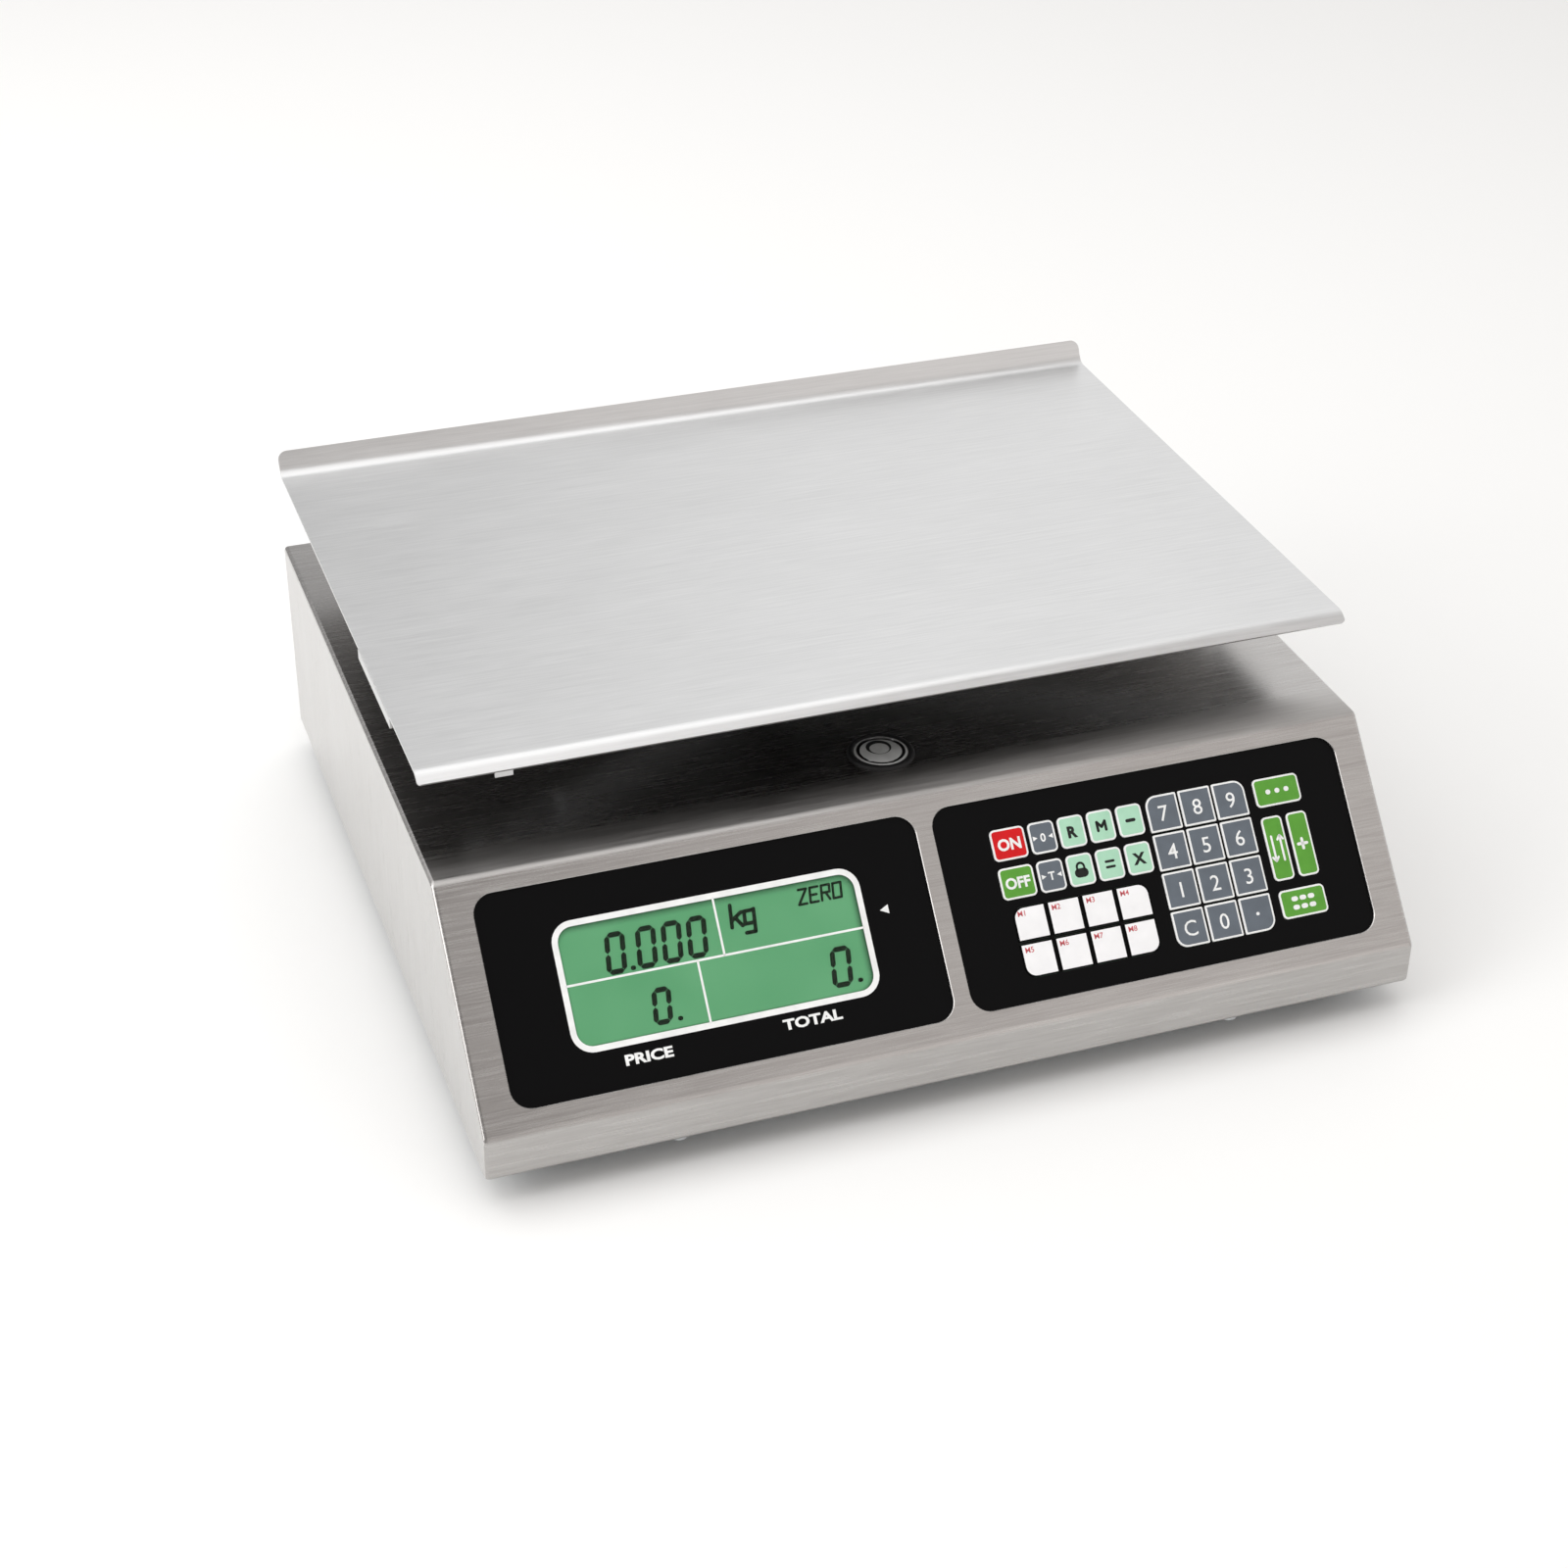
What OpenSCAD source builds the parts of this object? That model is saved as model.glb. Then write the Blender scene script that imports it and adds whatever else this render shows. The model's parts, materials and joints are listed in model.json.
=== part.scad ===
// Price-computing counter scale: folded stainless housing with a sloped control front,
// a lift-off stainless platter on a cast spider, and a single-point load cell inside.
// X runs to the right along the front, Y to the back and Z up. The origin is on the table,
// under the middle of the housing. All sizes are in millimetres.

/* [Housing] */
// Width of the housing
body_w = 380; // [374:1:480]
// Depth of the housing
body_d = 340; // [336:1:420]
// Height from the housing's lower edge to its flat top
body_h = 90; // [84:1:120]
// Height of the upright lip below the sloped front
lip_h = 18; // [12:1:24]
// Depth taken up by the sloped front
slope_d = 64; // [62:1:84]
// Gap between the table and the housing's lower edge
ground_gap = 12; // [11.5:0.5:18]
// Thickness of the stainless sheet
sheet_t = 1.2; // [0.8:0.1:1.6]
// Outside radius of the housing's folds
fold_r = 2; // [1.2:0.1:3]
// Width of the flange turned in under the housing
flange_w = 14; // [12:1:20]
// Thickness of the base plate
base_t = 1.5; // [1:0.1:2.5]
// How far the base plate stays inside the housing's edge
base_inset = 4; // [3:0.5:6]

/* [Front panels] */
// Width of each panel opening
opening_w = 173; // [165:1:174]
// Height of each panel opening, up the slope
opening_h = 80; // [76:1:82]
// Corner radius of the panel openings
opening_r = 8; // [4:0.5:12]
// Strip of sheet between the two openings
opening_gap = 7; // [7:0.5:12]
// How far the openings sit above the middle of the slope
opening_lift = 0.8; // [0:0.1:1.5]
// How far a panel reaches behind the edge of its opening
panel_lap = 3; // [2:0.5:3]
// Thickness of the panels
panel_t = 1; // [0.8:0.1:1.5]
// Width of the display window
window_w = 120; // [90:1:130]
// Height of the display window
window_h = 48.8; // [36:0.2:56]
// Corner radius of the display window
window_r = 8; // [3:0.5:12]
// Thickness of the display glass behind the window
glass_t = 2.8; // [2:0.1:4]

/* [Keys] */
// Gap between a key and the edge of its hole in the panel
key_clear = 0.25; // [0.2:0.05:0.4]
// How far the key tops stand above the panel
key_proud = 0.3; // [0.2:0.05:0.5]
// Travel of a key
key_travel = 0.4; // [0.2:0.05:0.5]
// Corner radius of a single key
key_r = 2; // [1:0.1:3]
// Corner radius at the outer corners of a block of keys
block_r = 4.5; // [2:0.1:6]
// Gap between the keys of a block
key_gap = 1; // [0.9:0.05:1.4]
// Width of the keys in the two upper left rows
fn_key_w = 10.8; // [8:0.1:11]
// Height of the keys in the two upper left rows
fn_key_h = 12.4; // [8:0.1:13.4]
// Width of the on and off keys
power_key_w = 14.3; // [8:0.1:16]
// Width from key to key in the number block
num_pitch_w = 14.6; // [10:0.1:15]
// Height from key to key in the number block
num_pitch_h = 15.4; // [10:0.1:16]
// Width from key to key in the memory block
mem_pitch_w = 14.5; // [10:0.1:14.8]
// Height from key to key in the memory block
mem_pitch_h = 14.2; // [10:0.1:14.4]
// Width of the right-hand block
side_w = 19.8; // [14:0.1:22]
// Height of the top and bottom keys of the right-hand block
side_key_h = 11.4; // [8:0.1:13]
// Height of the two tall keys of the right-hand block
tall_key_h = 25.8; // [20:0.1:28]

/* [Platter] */
// How far each side of the platter stays inside the housing's side
platter_inset = 1; // [1:0.5:20]
// Distance from the housing's front to the platter's front fold
platter_front = 85; // [75:1:110]
// Gap between the housing's top and the platter's underside
platter_gap = 35.3; // [32:0.1:45]
// Thickness of the platter
platter_t = 1.2; // [1:0.1:2]
// Length of the front edge folded down
front_fold_len = 3; // [2:0.5:12]
// Angle of the front edge below level
front_fold_a = 35; // [20:1:60]
// Length of the back lip folded up
back_fold_len = 7; // [5:0.5:14]
// Angle of the back lip above level
back_fold_a = 62; // [40:1:80]
// Radius inside the platter's bends
platter_bend_r = 6; // [2:0.5:8]
// Corner radius of the back lip
lip_corner_r = 4; // [1:0.5:6]
// Length of the guide tab under each side edge
side_tab_len = 55; // [20:1:90]
// Drop of the side tabs below the platter's top
side_tab_drop = 6; // [4:0.5:8]
// Distance from the middle of the housing to the middle of the side tabs
side_tab_y = -18; // [-30:1:30]

/* [Weighing unit] */
// Length of the load cell
cell_l = 130; // [110:1:150]
// Width of the load cell
cell_w = 30; // [24:1:40]
// Height of the load cell
cell_h = 22; // [20:0.5:30]
// Height of the load cell's underside above the base plate
cell_lift = 14; // [12:0.5:18]
// Diameter of the two flexure bores
flexure_d = 16; // [12:0.5:17]
// Travel of the platter from empty to full load
weigh_travel = 0.5; // [0.3:0.1:0.8]
// Diameter of the spider's post
post_d = 38; // [32:1:42]
// Gap round the post's foot in the housing's top
post_clear = 4; // [3:0.5:8]
// Width of the spider's arms
arm_w = 16; // [12:0.5:20]
// Thickness of the spider's arms
arm_t = 6; // [4:0.5:8]
// Diameter of the rubber support pads
pad_d = 16; // [12:0.5:18]
// Distance from the platter's edges to the support pads
pad_inset = 34; // [24:1:60]

/* [Feet] */
// Diameter of a foot
foot_d = 28; // [20:1:36]
// Height of a foot's pad
foot_pad_h = 8; // [6:0.5:8]
// Diameter of a foot's stud
stud_d = 6; // [5:0.5:8]
// Gap round the stud in its boss
stud_clear = 0.05; // [0.03:0.01:0.09]
// Distance from the housing's sides to the feet
foot_inset = 30; // [26:1:50]

/* [Level] */
// Diameter of the level's flange
level_d = 27; // [22:0.5:32]
// Diameter of the level's lens
level_lens_d = 21.4; // [14:0.1:22]
// Distance from the ridge to the middle of the level
level_back = 31; // [18:1:36]
// How far the level sits left of the housing's middle
level_left = 2.5; // [0:0.5:20]

/* [Rear] */
// Width of the customer's display window
rear_window_w = 130; // [80:1:160]
// Height of the customer's display window
rear_window_h = 42; // [30:1:48]
// Diameter of the power inlet's barrel
inlet_d = 11.8; // [9:0.1:14]
// Diameter of the power inlet's bore
inlet_bore_d = 6.4; // [5:0.1:7]
// Depth of the power inlet's bore
inlet_bore_len = 9.5; // [8:0.1:10]

/* [Hidden] */
$fn = 64;
over = 1;                 // how far cutting shapes pass beyond what they cut
fit_gap = 0.1;            // gap round pieces that are set into an opening

steel = [0.74, 0.73, 0.71];
zinc = [0.62, 0.64, 0.66];
black = [0.06, 0.06, 0.06];
pcb_green = [0.10, 0.35, 0.18];
lcd_green = [0.40, 0.65, 0.47];
alu = [0.80, 0.81, 0.83];
rubber_black = [0.10, 0.10, 0.10];

front_y = -body_d / 2;
back_y = body_d / 2;
side_x = body_w / 2;
top_z = ground_gap + body_h;
ridge_y = front_y + slope_d;
rise = body_h - lip_h;
slope_a = atan(rise / slope_d);
slope_len = sqrt(slope_d * slope_d + rise * rise);

opening_x = (opening_gap + opening_w) / 2;
opening_v = slope_len / 2 + opening_lift;
panel_top = -sheet_t;
panel_back = panel_top - panel_t;
panel_w = opening_w + 2 * panel_lap;
panel_h = opening_h + 2 * panel_lap;

// Keys: name, place across and up from the panel's middle, width, height, corner radii
inner_r = 0.6;
fn_pitch_w = fn_key_w + 1.6;
fn_pitch_h = fn_key_h + 2.8;
fn_u = -43.1;
fn_v = 21.5;
mem_at = [-33.7, -17];
num_at = [23.1, -1.1];
side_at = [58.2, -0.5];
side_gap = 2;
side_step = 22.6;
FN_NAMES = [["key_on", "key_zero", "key_recall", "key_memory", "key_minus"],
            ["key_off", "key_tare", "key_fix_price", "key_total", "key_multiply"]];
NUM_NAMES = [["key_7", "key_8", "key_9"], ["key_4", "key_5", "key_6"],
             ["key_1", "key_2", "key_3"], ["key_clear", "key_0", "key_point"]];
tall_w = (side_w - side_gap) / 2;
all_round = [key_r, key_r, key_r, key_r];
fn_keys = [for (row = [0:1], col = [0:4]) [
    FN_NAMES[row][col],
    col == 0 ? fn_u - fn_pitch_w - (power_key_w - fn_key_w) / 2 : fn_u + (col - 1) * fn_pitch_w,
    fn_v - row * fn_pitch_h,
    col == 0 ? power_key_w : fn_key_w,
    fn_key_h,
    all_round]];
mem_keys = [for (row = [0:1], col = [0:3]) [
    str("key_m", row * 4 + col + 1),
    mem_at[0] + (col - 1.5) * mem_pitch_w,
    mem_at[1] + (0.5 - row) * mem_pitch_h,
    mem_pitch_w - key_gap,
    mem_pitch_h - key_gap,
    block_corners(row, col, 1, 3)]];
num_keys = [for (row = [0:3], col = [0:2]) [
    NUM_NAMES[row][col],
    num_at[0] + (col - 1) * num_pitch_w,
    num_at[1] + (1.5 - row) * num_pitch_h,
    num_pitch_w - key_gap,
    num_pitch_h - key_gap,
    block_corners(row, col, 3, 2)]];
side_keys = [
    ["key_misc", side_at[0], side_at[1] + side_step, side_w, side_key_h, all_round],
    ["key_change", side_at[0] - (tall_w + side_gap) / 2, side_at[1], tall_w, tall_key_h, all_round],
    ["key_plus", side_at[0] + (tall_w + side_gap) / 2, side_at[1], tall_w, tall_key_h, all_round],
    ["key_count", side_at[0], side_at[1] - side_step, side_w, side_key_h, all_round]];
KEYS = concat(fn_keys, mem_keys, num_keys, side_keys);

platter_w = body_w - 2 * platter_inset;
platter_top = top_z + platter_gap + platter_t;
platter_fold_y = front_y + platter_front;
back_fold_reach = (platter_bend_r + platter_t) * sin(back_fold_a) + back_fold_len * cos(back_fold_a);
platter_bend_y = floor(10 * (back_y - back_fold_reach)) / 10;
platter_mid_y = (platter_fold_y + platter_bend_y) / 2;
pad_x = platter_w / 2 - pad_inset;
pad_y = (platter_bend_y - platter_fold_y) / 2 - pad_inset * 0.75;
pad_h = 6.3;
arm_top = top_z + platter_gap - pad_h;
arm_bottom = arm_top - arm_t;
hook_x = pad_x;
hook_w = 7;
hook_drop = 11;
hook_in = 2;              // how far the small tab stands behind the platter's front fold
stem_d = 8;               // the support pads' stems, and their holes in the arms
stem_gap = 0.1;
arm_eye = 6;              // how much wider the eye of an arm is than its pad

base_z = ground_gap - base_t;
cell_z = ground_gap + cell_lift;
cell_top = cell_z + cell_h;
cell_end = 30;            // length of the load cell's clamped ends
clamp_x = cell_l / 2 - cell_end / 2;
clamp_pitch = 16;
flexure_x = 14;           // from the cell's middle to each flexure bore
flexure_slot = 4;
mount_t = 5;
mount_w = 60;
stop_d = 8;
stop_nut_d = 15;
stop_nut_h = 5;
bracket_step = 3;
bracket_t = 6;
bracket_z = cell_top + bracket_step;
post_z = bracket_z + bracket_t;
post_wall = 5;
post_foot_d = post_d + 22;
post_foot_t = 5;
post_hole_d = post_foot_d + 2 * post_clear;
post_screw_r = (post_d + post_foot_d) / 4 + 0.5;
hub_d = post_d + 32;
stop_gap = weigh_travel + 0.2;

foot_x = side_x - foot_inset;
foot_y = back_y - foot_inset;
boss_d = stud_d + 8;
boss_h = 10;
foot_bevel = 2;
stud_top = ground_gap + boss_h + 2;

level_at = [-level_left, ridge_y + level_back];
level_cup_d = level_d - 5;
level_cup_h = 12;
level_flange_t = 1.6;
level_floor = 2;
level_wall = 1.5;
lens_low = 0.2;           // how far the level's lens stays below its flange

screw_inset = 8;
cover_screw_d = 4;
cell_screw_d = 6;
spider_screw_d = 4;
cell_hole_d = 6.6;
thread_d = 6.2;           // the load cell's threaded holes, at their outer diameter
thread_len = 14;
grip = 12;                // how far a cell screw goes into its thread
cover_screws_at = [for (sx = [-1, 1], sy = [-1, 1], along = [0, 1])
    along == 0 ? [sx * (side_x - screw_inset), sy * body_d * 0.3]
               : [sx * body_w * 0.3, sy * (back_y - screw_inset)]];
foot_corners = [["foot_front_left", -1, -1], ["foot_front_right", 1, -1],
                ["foot_back_left", -1, 1], ["foot_back_right", 1, 1]];

board_w = 150;
board_d = 92;
board_t = 1.6;
board_at = [96, ridge_y + 66];
standoff_h = 10;
board_hole_inset = 6;
standoff_d = 7;
// Blocks on the main board: place, width, depth and height
board_blocks = [[-30, 10, 22, 22, 2.4], [20, -20, 30, 12, 10], [55, 20, 24, 30, 16]];
can_d = 8;
can_h = 12;
can_pitch = 12;
dome_d = 7;
dome_h = 0.15;
dome_gap = 0.2;           // what is left under a key at the end of its travel
contact_margin = 9;       // how much narrower the contact board is than its panel
contact_spacer = 3;       // width of the spacer round the contact board
lcd_margin = 3;
lcd_board_margin = 8;
battery_size = [70, 96, 48];
terminal = [0.8, 5, 6];
battery_at = [-cell_l / 2 - 12 - battery_size[0] / 2, back_y - 14 - battery_size[1] / 2];
rear_z = ground_gap + 52;
rear_r = 5;
rear_depth = 8;
rear_margin = 6;
rear_glass_t = 0.8;
inlet_x = side_x - 40;
inlet_z = ground_gap + 22;
inlet_box = 14;

// Corner radii of a key in a block, in the order top left, top right, bottom right, bottom left
function block_corners(row, col, last_row, last_col) = [
    row == 0 && col == 0 ? block_r : inner_r,
    row == 0 && col == last_col ? block_r : inner_r,
    row == last_row && col == last_col ? block_r : inner_r,
    row == last_row && col == 0 ? block_r : inner_r];

// Rectangle about the origin with its own radius at each corner, in the same order
module key_outline(w, h, radii, grow = 0) {
    corners = [[-1, 1], [1, 1], [1, -1], [-1, -1]];
    difference() {
        square([w + 2 * grow, h + 2 * grow], center = true);
        for (i = [0:3])
            translate([corners[i][0] * (w / 2 + grow), corners[i][1] * (h / 2 + grow)])
                square(2 * (radii[i] + grow), center = true);
    }
    for (i = [0:3])
        translate([corners[i][0] * (w / 2 - radii[i]), corners[i][1] * (h / 2 - radii[i])])
            circle(radii[i] + grow);
}

module round_rect(w, h, r) {
    key_outline(w, h, [r, r, r, r]);
}

// Plate whose outline lies in the plane, from one height up to another
module plate(low, high) {
    translate([0, 0, low])
        linear_extrude(high - low)
            children();
}

// Outline in Y and Z, extruded along X about the middle
module along_x(w) {
    rotate([90, 0, 90])
        linear_extrude(w, center = true)
            children();
}

// Outline in X and Z, extruded along Y about the middle
module along_y(d) {
    rotate([90, 0, 0])
        linear_extrude(d, center = true)
            children();
}

// Moves a shape drawn flat onto the sloped front: across u, up the slope v, out of it +Z
module on_slope(u = 0, v = 0) {
    translate([0, front_y, ground_gap + lip_h])
        rotate([slope_a, 0, 0])
            translate([u, v, 0])
                children();
}

// What is cut off the corner at p, between its neighbours a and b, to round it
module corner_cut(p, a, b, r) {
    to_a = (a - p) / norm(a - p);
    to_b = (b - p) / norm(b - p);
    half = acos(to_a * to_b) / 2;
    reach = r / tan(half);
    middle = p + (to_a + to_b) / norm(to_a + to_b) * r / sin(half);
    out = -(to_a + to_b) / norm(to_a + to_b) * 0.01;
    difference() {
        polygon([p + out, p + to_a * reach + out, p + to_a * reach, middle, p + to_b * reach,
                 p + to_b * reach + out]);
        translate(middle)
            circle(r);
    }
}

// Outline through the points, with every corner rounded
module round_outline(points, r) {
    n = len(points);
    difference() {
        polygon(points);
        for (i = [0:n - 1])
            corner_cut(points[i], points[(i + n - 1) % n], points[(i + 1) % n], r);
    }
}

// Side view of the housing, kept in from its outer faces by t
function side_points(t) = let (
    lip_in = ground_gap + lip_h - t * cos(slope_a) + t * (1 - sin(slope_a)) * tan(slope_a),
    ridge_in = ridge_y + t * sin(slope_a) - t * (1 - cos(slope_a)) / tan(slope_a)) [
    [front_y + t, ground_gap + t],
    [back_y - t, ground_gap + t],
    [back_y - t, top_z - t],
    [ridge_in, top_z - t],
    [front_y + t, lip_in]];

// What bevels the side fold that runs from p to q in the side view
module side_fold_cut(p, q, side) {
    bevel = fold_r * (2 - sqrt(2));
    run = norm(q - p);
    translate([side * side_x, p[0], p[1]])
        rotate([atan2(q[1] - p[1], q[0] - p[0]), 0, 0])
            translate([0, run / 2, 0])
                along_y(run + 2 * over)
                    polygon([[side * over, -over], [-side * (bevel + over), -over],
                             [side * over, bevel + over]]);
}

// The housing's outer shape: round folds across the front, beveled folds at the sides
module housing_solid() {
    points = side_points(0);
    difference() {
        along_x(body_w)
            round_outline(points, fold_r);
        for (i = [0:4], side = [-1, 1])
            side_fold_cut(points[i], points[(i + 1) % 5], side);
    }
}

module housing_cover() {
    color(steel) difference() {
        housing_solid();
        along_x(body_w - 2 * sheet_t)
            polygon(side_points(sheet_t));
        plate(ground_gap - over, ground_gap + sheet_t + over)
            square([body_w - 2 * flange_w, body_d - 2 * flange_w], center = true);
        for (side = [-1, 1])
            on_slope(side * opening_x, opening_v)
                plate(-sheet_t - over, over)
                    round_rect(opening_w, opening_h, opening_r);
        translate([0, platter_mid_y, top_z - sheet_t - over])
            cylinder(d = post_hole_d, h = sheet_t + 2 * over);
        translate([level_at[0], level_at[1], top_z - sheet_t - over])
            cylinder(d = level_cup_d + 2 * fit_gap, h = sheet_t + 2 * over);
        translate([0, back_y, rear_z])
            along_y(2 * (sheet_t + over))
                round_rect(rear_window_w, rear_window_h, rear_r);
        translate([inlet_x, back_y + over, inlet_z])
            rotate([90, 0, 0])
                cylinder(d = inlet_d + 2 * fit_gap, h = sheet_t + 2 * over);
        for (p = cover_screws_at)
            translate([p[0], p[1], ground_gap - over])
                cylinder(d = cover_screw_d + 0.2, h = sheet_t + 2 * over);
    }
}

module base_plate() {
    color(zinc) difference() {
        union() {
            plate(base_z, ground_gap)
                round_rect(body_w - 2 * base_inset, body_d - 2 * base_inset, 4);
            for (f = foot_corners)
                translate([f[1] * foot_x, f[2] * foot_y, base_z])
                    cylinder(d = boss_d, h = base_t + boss_h);
            for (sx = [-1, 1], sy = [-1, 1])
                translate([board_at[0] + sx * (board_w / 2 - board_hole_inset),
                           board_at[1] + sy * (board_d / 2 - board_hole_inset), base_z])
                    cylinder(d = standoff_d, h = base_t + standoff_h);
        }
        for (f = foot_corners)
            translate([f[1] * foot_x, f[2] * foot_y, base_z - over])
                cylinder(d = stud_d + 2 * stud_clear, h = base_t + boss_h + 2 * over);
        for (p = cover_screws_at)
            translate([p[0], p[1], base_z - over])
                cylinder(d = cover_screw_d + 0.5, h = base_t + 2 * over);
        for (i = [-1, 1])
            translate([-clamp_x + i * clamp_pitch / 2, platter_mid_y, base_z - over])
                cylinder(d = cell_hole_d, h = base_t + 2 * over);
    }
}

// Pan-head screw with its head below z = 0 and its shank going up
module pan_screw(d, head_d, head_h, length) {
    cylinder(d = d, h = length);
    translate([0, 0, -head_h])
        difference() {
            cylinder(d = head_d, h = head_h);
            for (turn = [0, 90])
                rotate([0, 0, turn])
                    translate([0, 0, head_h / 4])
                        cube([head_d * 0.6, 0.9, head_h / 2 + 0.01], center = true);
        }
}

// Socket-head screw with its head above z = 0 and its shank going down
module socket_screw(d, head_d, head_h, length) {
    translate([0, 0, -length])
        cylinder(d = d, h = length);
    difference() {
        cylinder(d = head_d, h = head_h);
        translate([0, 0, head_h / 2])
            cylinder(d = d, h = head_h, $fn = 6);
    }
}

module cover_screws() {
    color(steel)
        for (p = cover_screws_at)
            translate([p[0], p[1], base_z])
                pan_screw(cover_screw_d, 7.5, 2.2, base_t + sheet_t + 3);
}

module display_panel() {
    color(black) on_slope(-opening_x, opening_v)
        plate(panel_back, panel_top)
            difference() {
                round_rect(panel_w, panel_h, opening_r);
                round_rect(window_w + 2 * fit_gap, window_h + 2 * fit_gap, window_r + fit_gap);
            }
}

module display_window() {
    color([0.85, 0.90, 0.88]) on_slope(-opening_x, opening_v)
        plate(panel_back, panel_top)
            round_rect(window_w, window_h, window_r);
}

module lcd_module() {
    color(lcd_green) on_slope(-opening_x, opening_v) {
        plate(panel_back - glass_t, panel_back)
            square([window_w + 2 * lcd_margin, window_h + 2 * lcd_margin], center = true);
        plate(panel_back - glass_t - board_t, panel_back - glass_t)
            square([window_w + 2 * lcd_board_margin, window_h + 2 * lcd_board_margin - 2], center = true);
    }
}

module keypad_panel() {
    color(black) on_slope(opening_x, opening_v)
        plate(panel_back, panel_top)
            difference() {
                round_rect(panel_w, panel_h, opening_r);
                for (k = KEYS)
                    translate([k[1], k[2]])
                        key_outline(k[3], k[4], k[5], key_clear);
            }
}

module keypad_board() {
    rest_gap = key_travel + dome_gap;
    w = panel_w - contact_margin;
    h = panel_h - contact_margin + 1;
    color(pcb_green) on_slope(opening_x, opening_v) {
        plate(panel_back - rest_gap - board_t, panel_back - rest_gap)
            square([w, h], center = true);
        plate(panel_back - rest_gap, panel_back)
            difference() {
                square([w, h], center = true);
                square([w - 2 * contact_spacer, h - 2 * contact_spacer], center = true);
            }
        for (k = KEYS)
            translate([k[1], k[2], panel_back - rest_gap])
                cylinder(d = dome_d, h = dome_h);
    }
}

module key(k) {
    color([0.45, 0.48, 0.50]) on_slope(opening_x + k[1], opening_v + k[2])
        plate(panel_back, panel_top + key_proud)
            key_outline(k[3], k[4], k[5]);
}

module main_board() {
    color(pcb_green) translate([board_at[0], board_at[1], ground_gap + standoff_h]) {
        plate(0, board_t)
            square([board_w, board_d], center = true);
        for (k = board_blocks)
            translate([k[0], k[1], board_t])
                plate(0, k[4])
                    square([k[2], k[3]], center = true);
        for (i = [0:3])
            translate([-60 + i * can_pitch, -34, board_t])
                cylinder(d = can_d, h = can_h);
    }
}

module battery() {
    color([0.18, 0.19, 0.21]) translate([battery_at[0], battery_at[1], ground_gap]) {
        plate(0, battery_size[2])
            square([battery_size[0], battery_size[1]], center = true);
        for (side = [-1, 1])
            translate([side * 22, battery_size[1] / 2 - 9, battery_size[2]])
                plate(0, terminal[2])
                    square([terminal[0], terminal[1]], center = true);
    }
}

module level_cup() {
    color(black) translate([level_at[0], level_at[1], top_z]) difference() {
        union() {
            cylinder(d = level_d, h = level_flange_t);
            translate([0, 0, -level_cup_h])
                cylinder(d = level_cup_d, h = level_cup_h);
        }
        translate([0, 0, level_floor - level_cup_h])
            cylinder(d = level_cup_d - 2 * level_wall, h = level_cup_h + level_flange_t);
        cylinder(d = level_lens_d + 2 * fit_gap, h = level_flange_t + over);
    }
}

module level_lens() {
    color([0.80, 0.85, 0.80]) translate([level_at[0], level_at[1], top_z])
        cylinder(d = level_lens_d, h = level_flange_t - lens_low);
}

module customer_display() {
    color(lcd_green) translate([0, back_y, rear_z]) {
        translate([0, -sheet_t - rear_depth / 2, 0])
            along_y(rear_depth)
                square([rear_window_w + 2 * rear_margin, rear_window_h + 2 * rear_margin], center = true);
        translate([0, rear_glass_t / 2 - sheet_t, 0])
            along_y(rear_glass_t)
                round_rect(rear_window_w - 2 * fit_gap, rear_window_h - 2 * fit_gap, rear_r - fit_gap);
    }
}

module power_inlet() {
    color(black) translate([inlet_x, back_y, inlet_z]) difference() {
        union() {
            translate([-inlet_box / 2, -sheet_t - inlet_box, -inlet_box / 2])
                cube(inlet_box);
            rotate([90, 0, 0])
                cylinder(d = inlet_d, h = sheet_t + over);
        }
        translate([0, over, 0])
            rotate([90, 0, 0])
                cylinder(d = inlet_bore_d, h = inlet_bore_len + over);
    }
}

module cell_mount() {
    color(zinc) translate([0, platter_mid_y, ground_gap]) difference() {
        union() {
            plate(0, mount_t)
                square([cell_l + 20, mount_w], center = true);
            translate([-clamp_x, 0, 0])
                plate(0, cell_lift)
                    square([cell_end + 2, cell_w], center = true);
            translate([clamp_x, 0, 0])
                cylinder(d = stop_d, h = cell_lift - stop_gap);
            translate([clamp_x, 0, mount_t])
                cylinder(d = stop_nut_d, h = stop_nut_h, $fn = 6);
        }
        for (i = [-1, 1])
            translate([-clamp_x + i * clamp_pitch / 2, 0, -over])
                cylinder(d = cell_hole_d, h = cell_lift + 2 * over);
    }
}

module cell_screws() {
    color(steel)
        for (i = [-1, 1])
            translate([-clamp_x + i * clamp_pitch / 2, platter_mid_y, base_z])
                pan_screw(cell_screw_d, 11, 3.6, base_t + cell_lift + grip);
}

module load_cell() {
    color(alu) translate([0, platter_mid_y, cell_z]) difference() {
        translate([-cell_l / 2, -cell_w / 2, 0])
            cube([cell_l, cell_w, cell_h]);
        for (side = [-1, 1])
            translate([side * flexure_x, 0, cell_h / 2])
                rotate([90, 0, 0])
                    cylinder(d = flexure_d, h = cell_w + 2 * over, center = true);
        translate([0, 0, cell_h / 2])
            cube([2 * flexure_x, cell_w + 2 * over, flexure_slot], center = true);
        for (i = [-1, 1]) {
            translate([-clamp_x + i * clamp_pitch / 2, 0, -over])
                cylinder(d = thread_d, h = thread_len + over);
            translate([clamp_x + i * clamp_pitch / 2, 0, cell_h - thread_len])
                cylinder(d = thread_d, h = thread_len + over);
        }
    }
}

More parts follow.
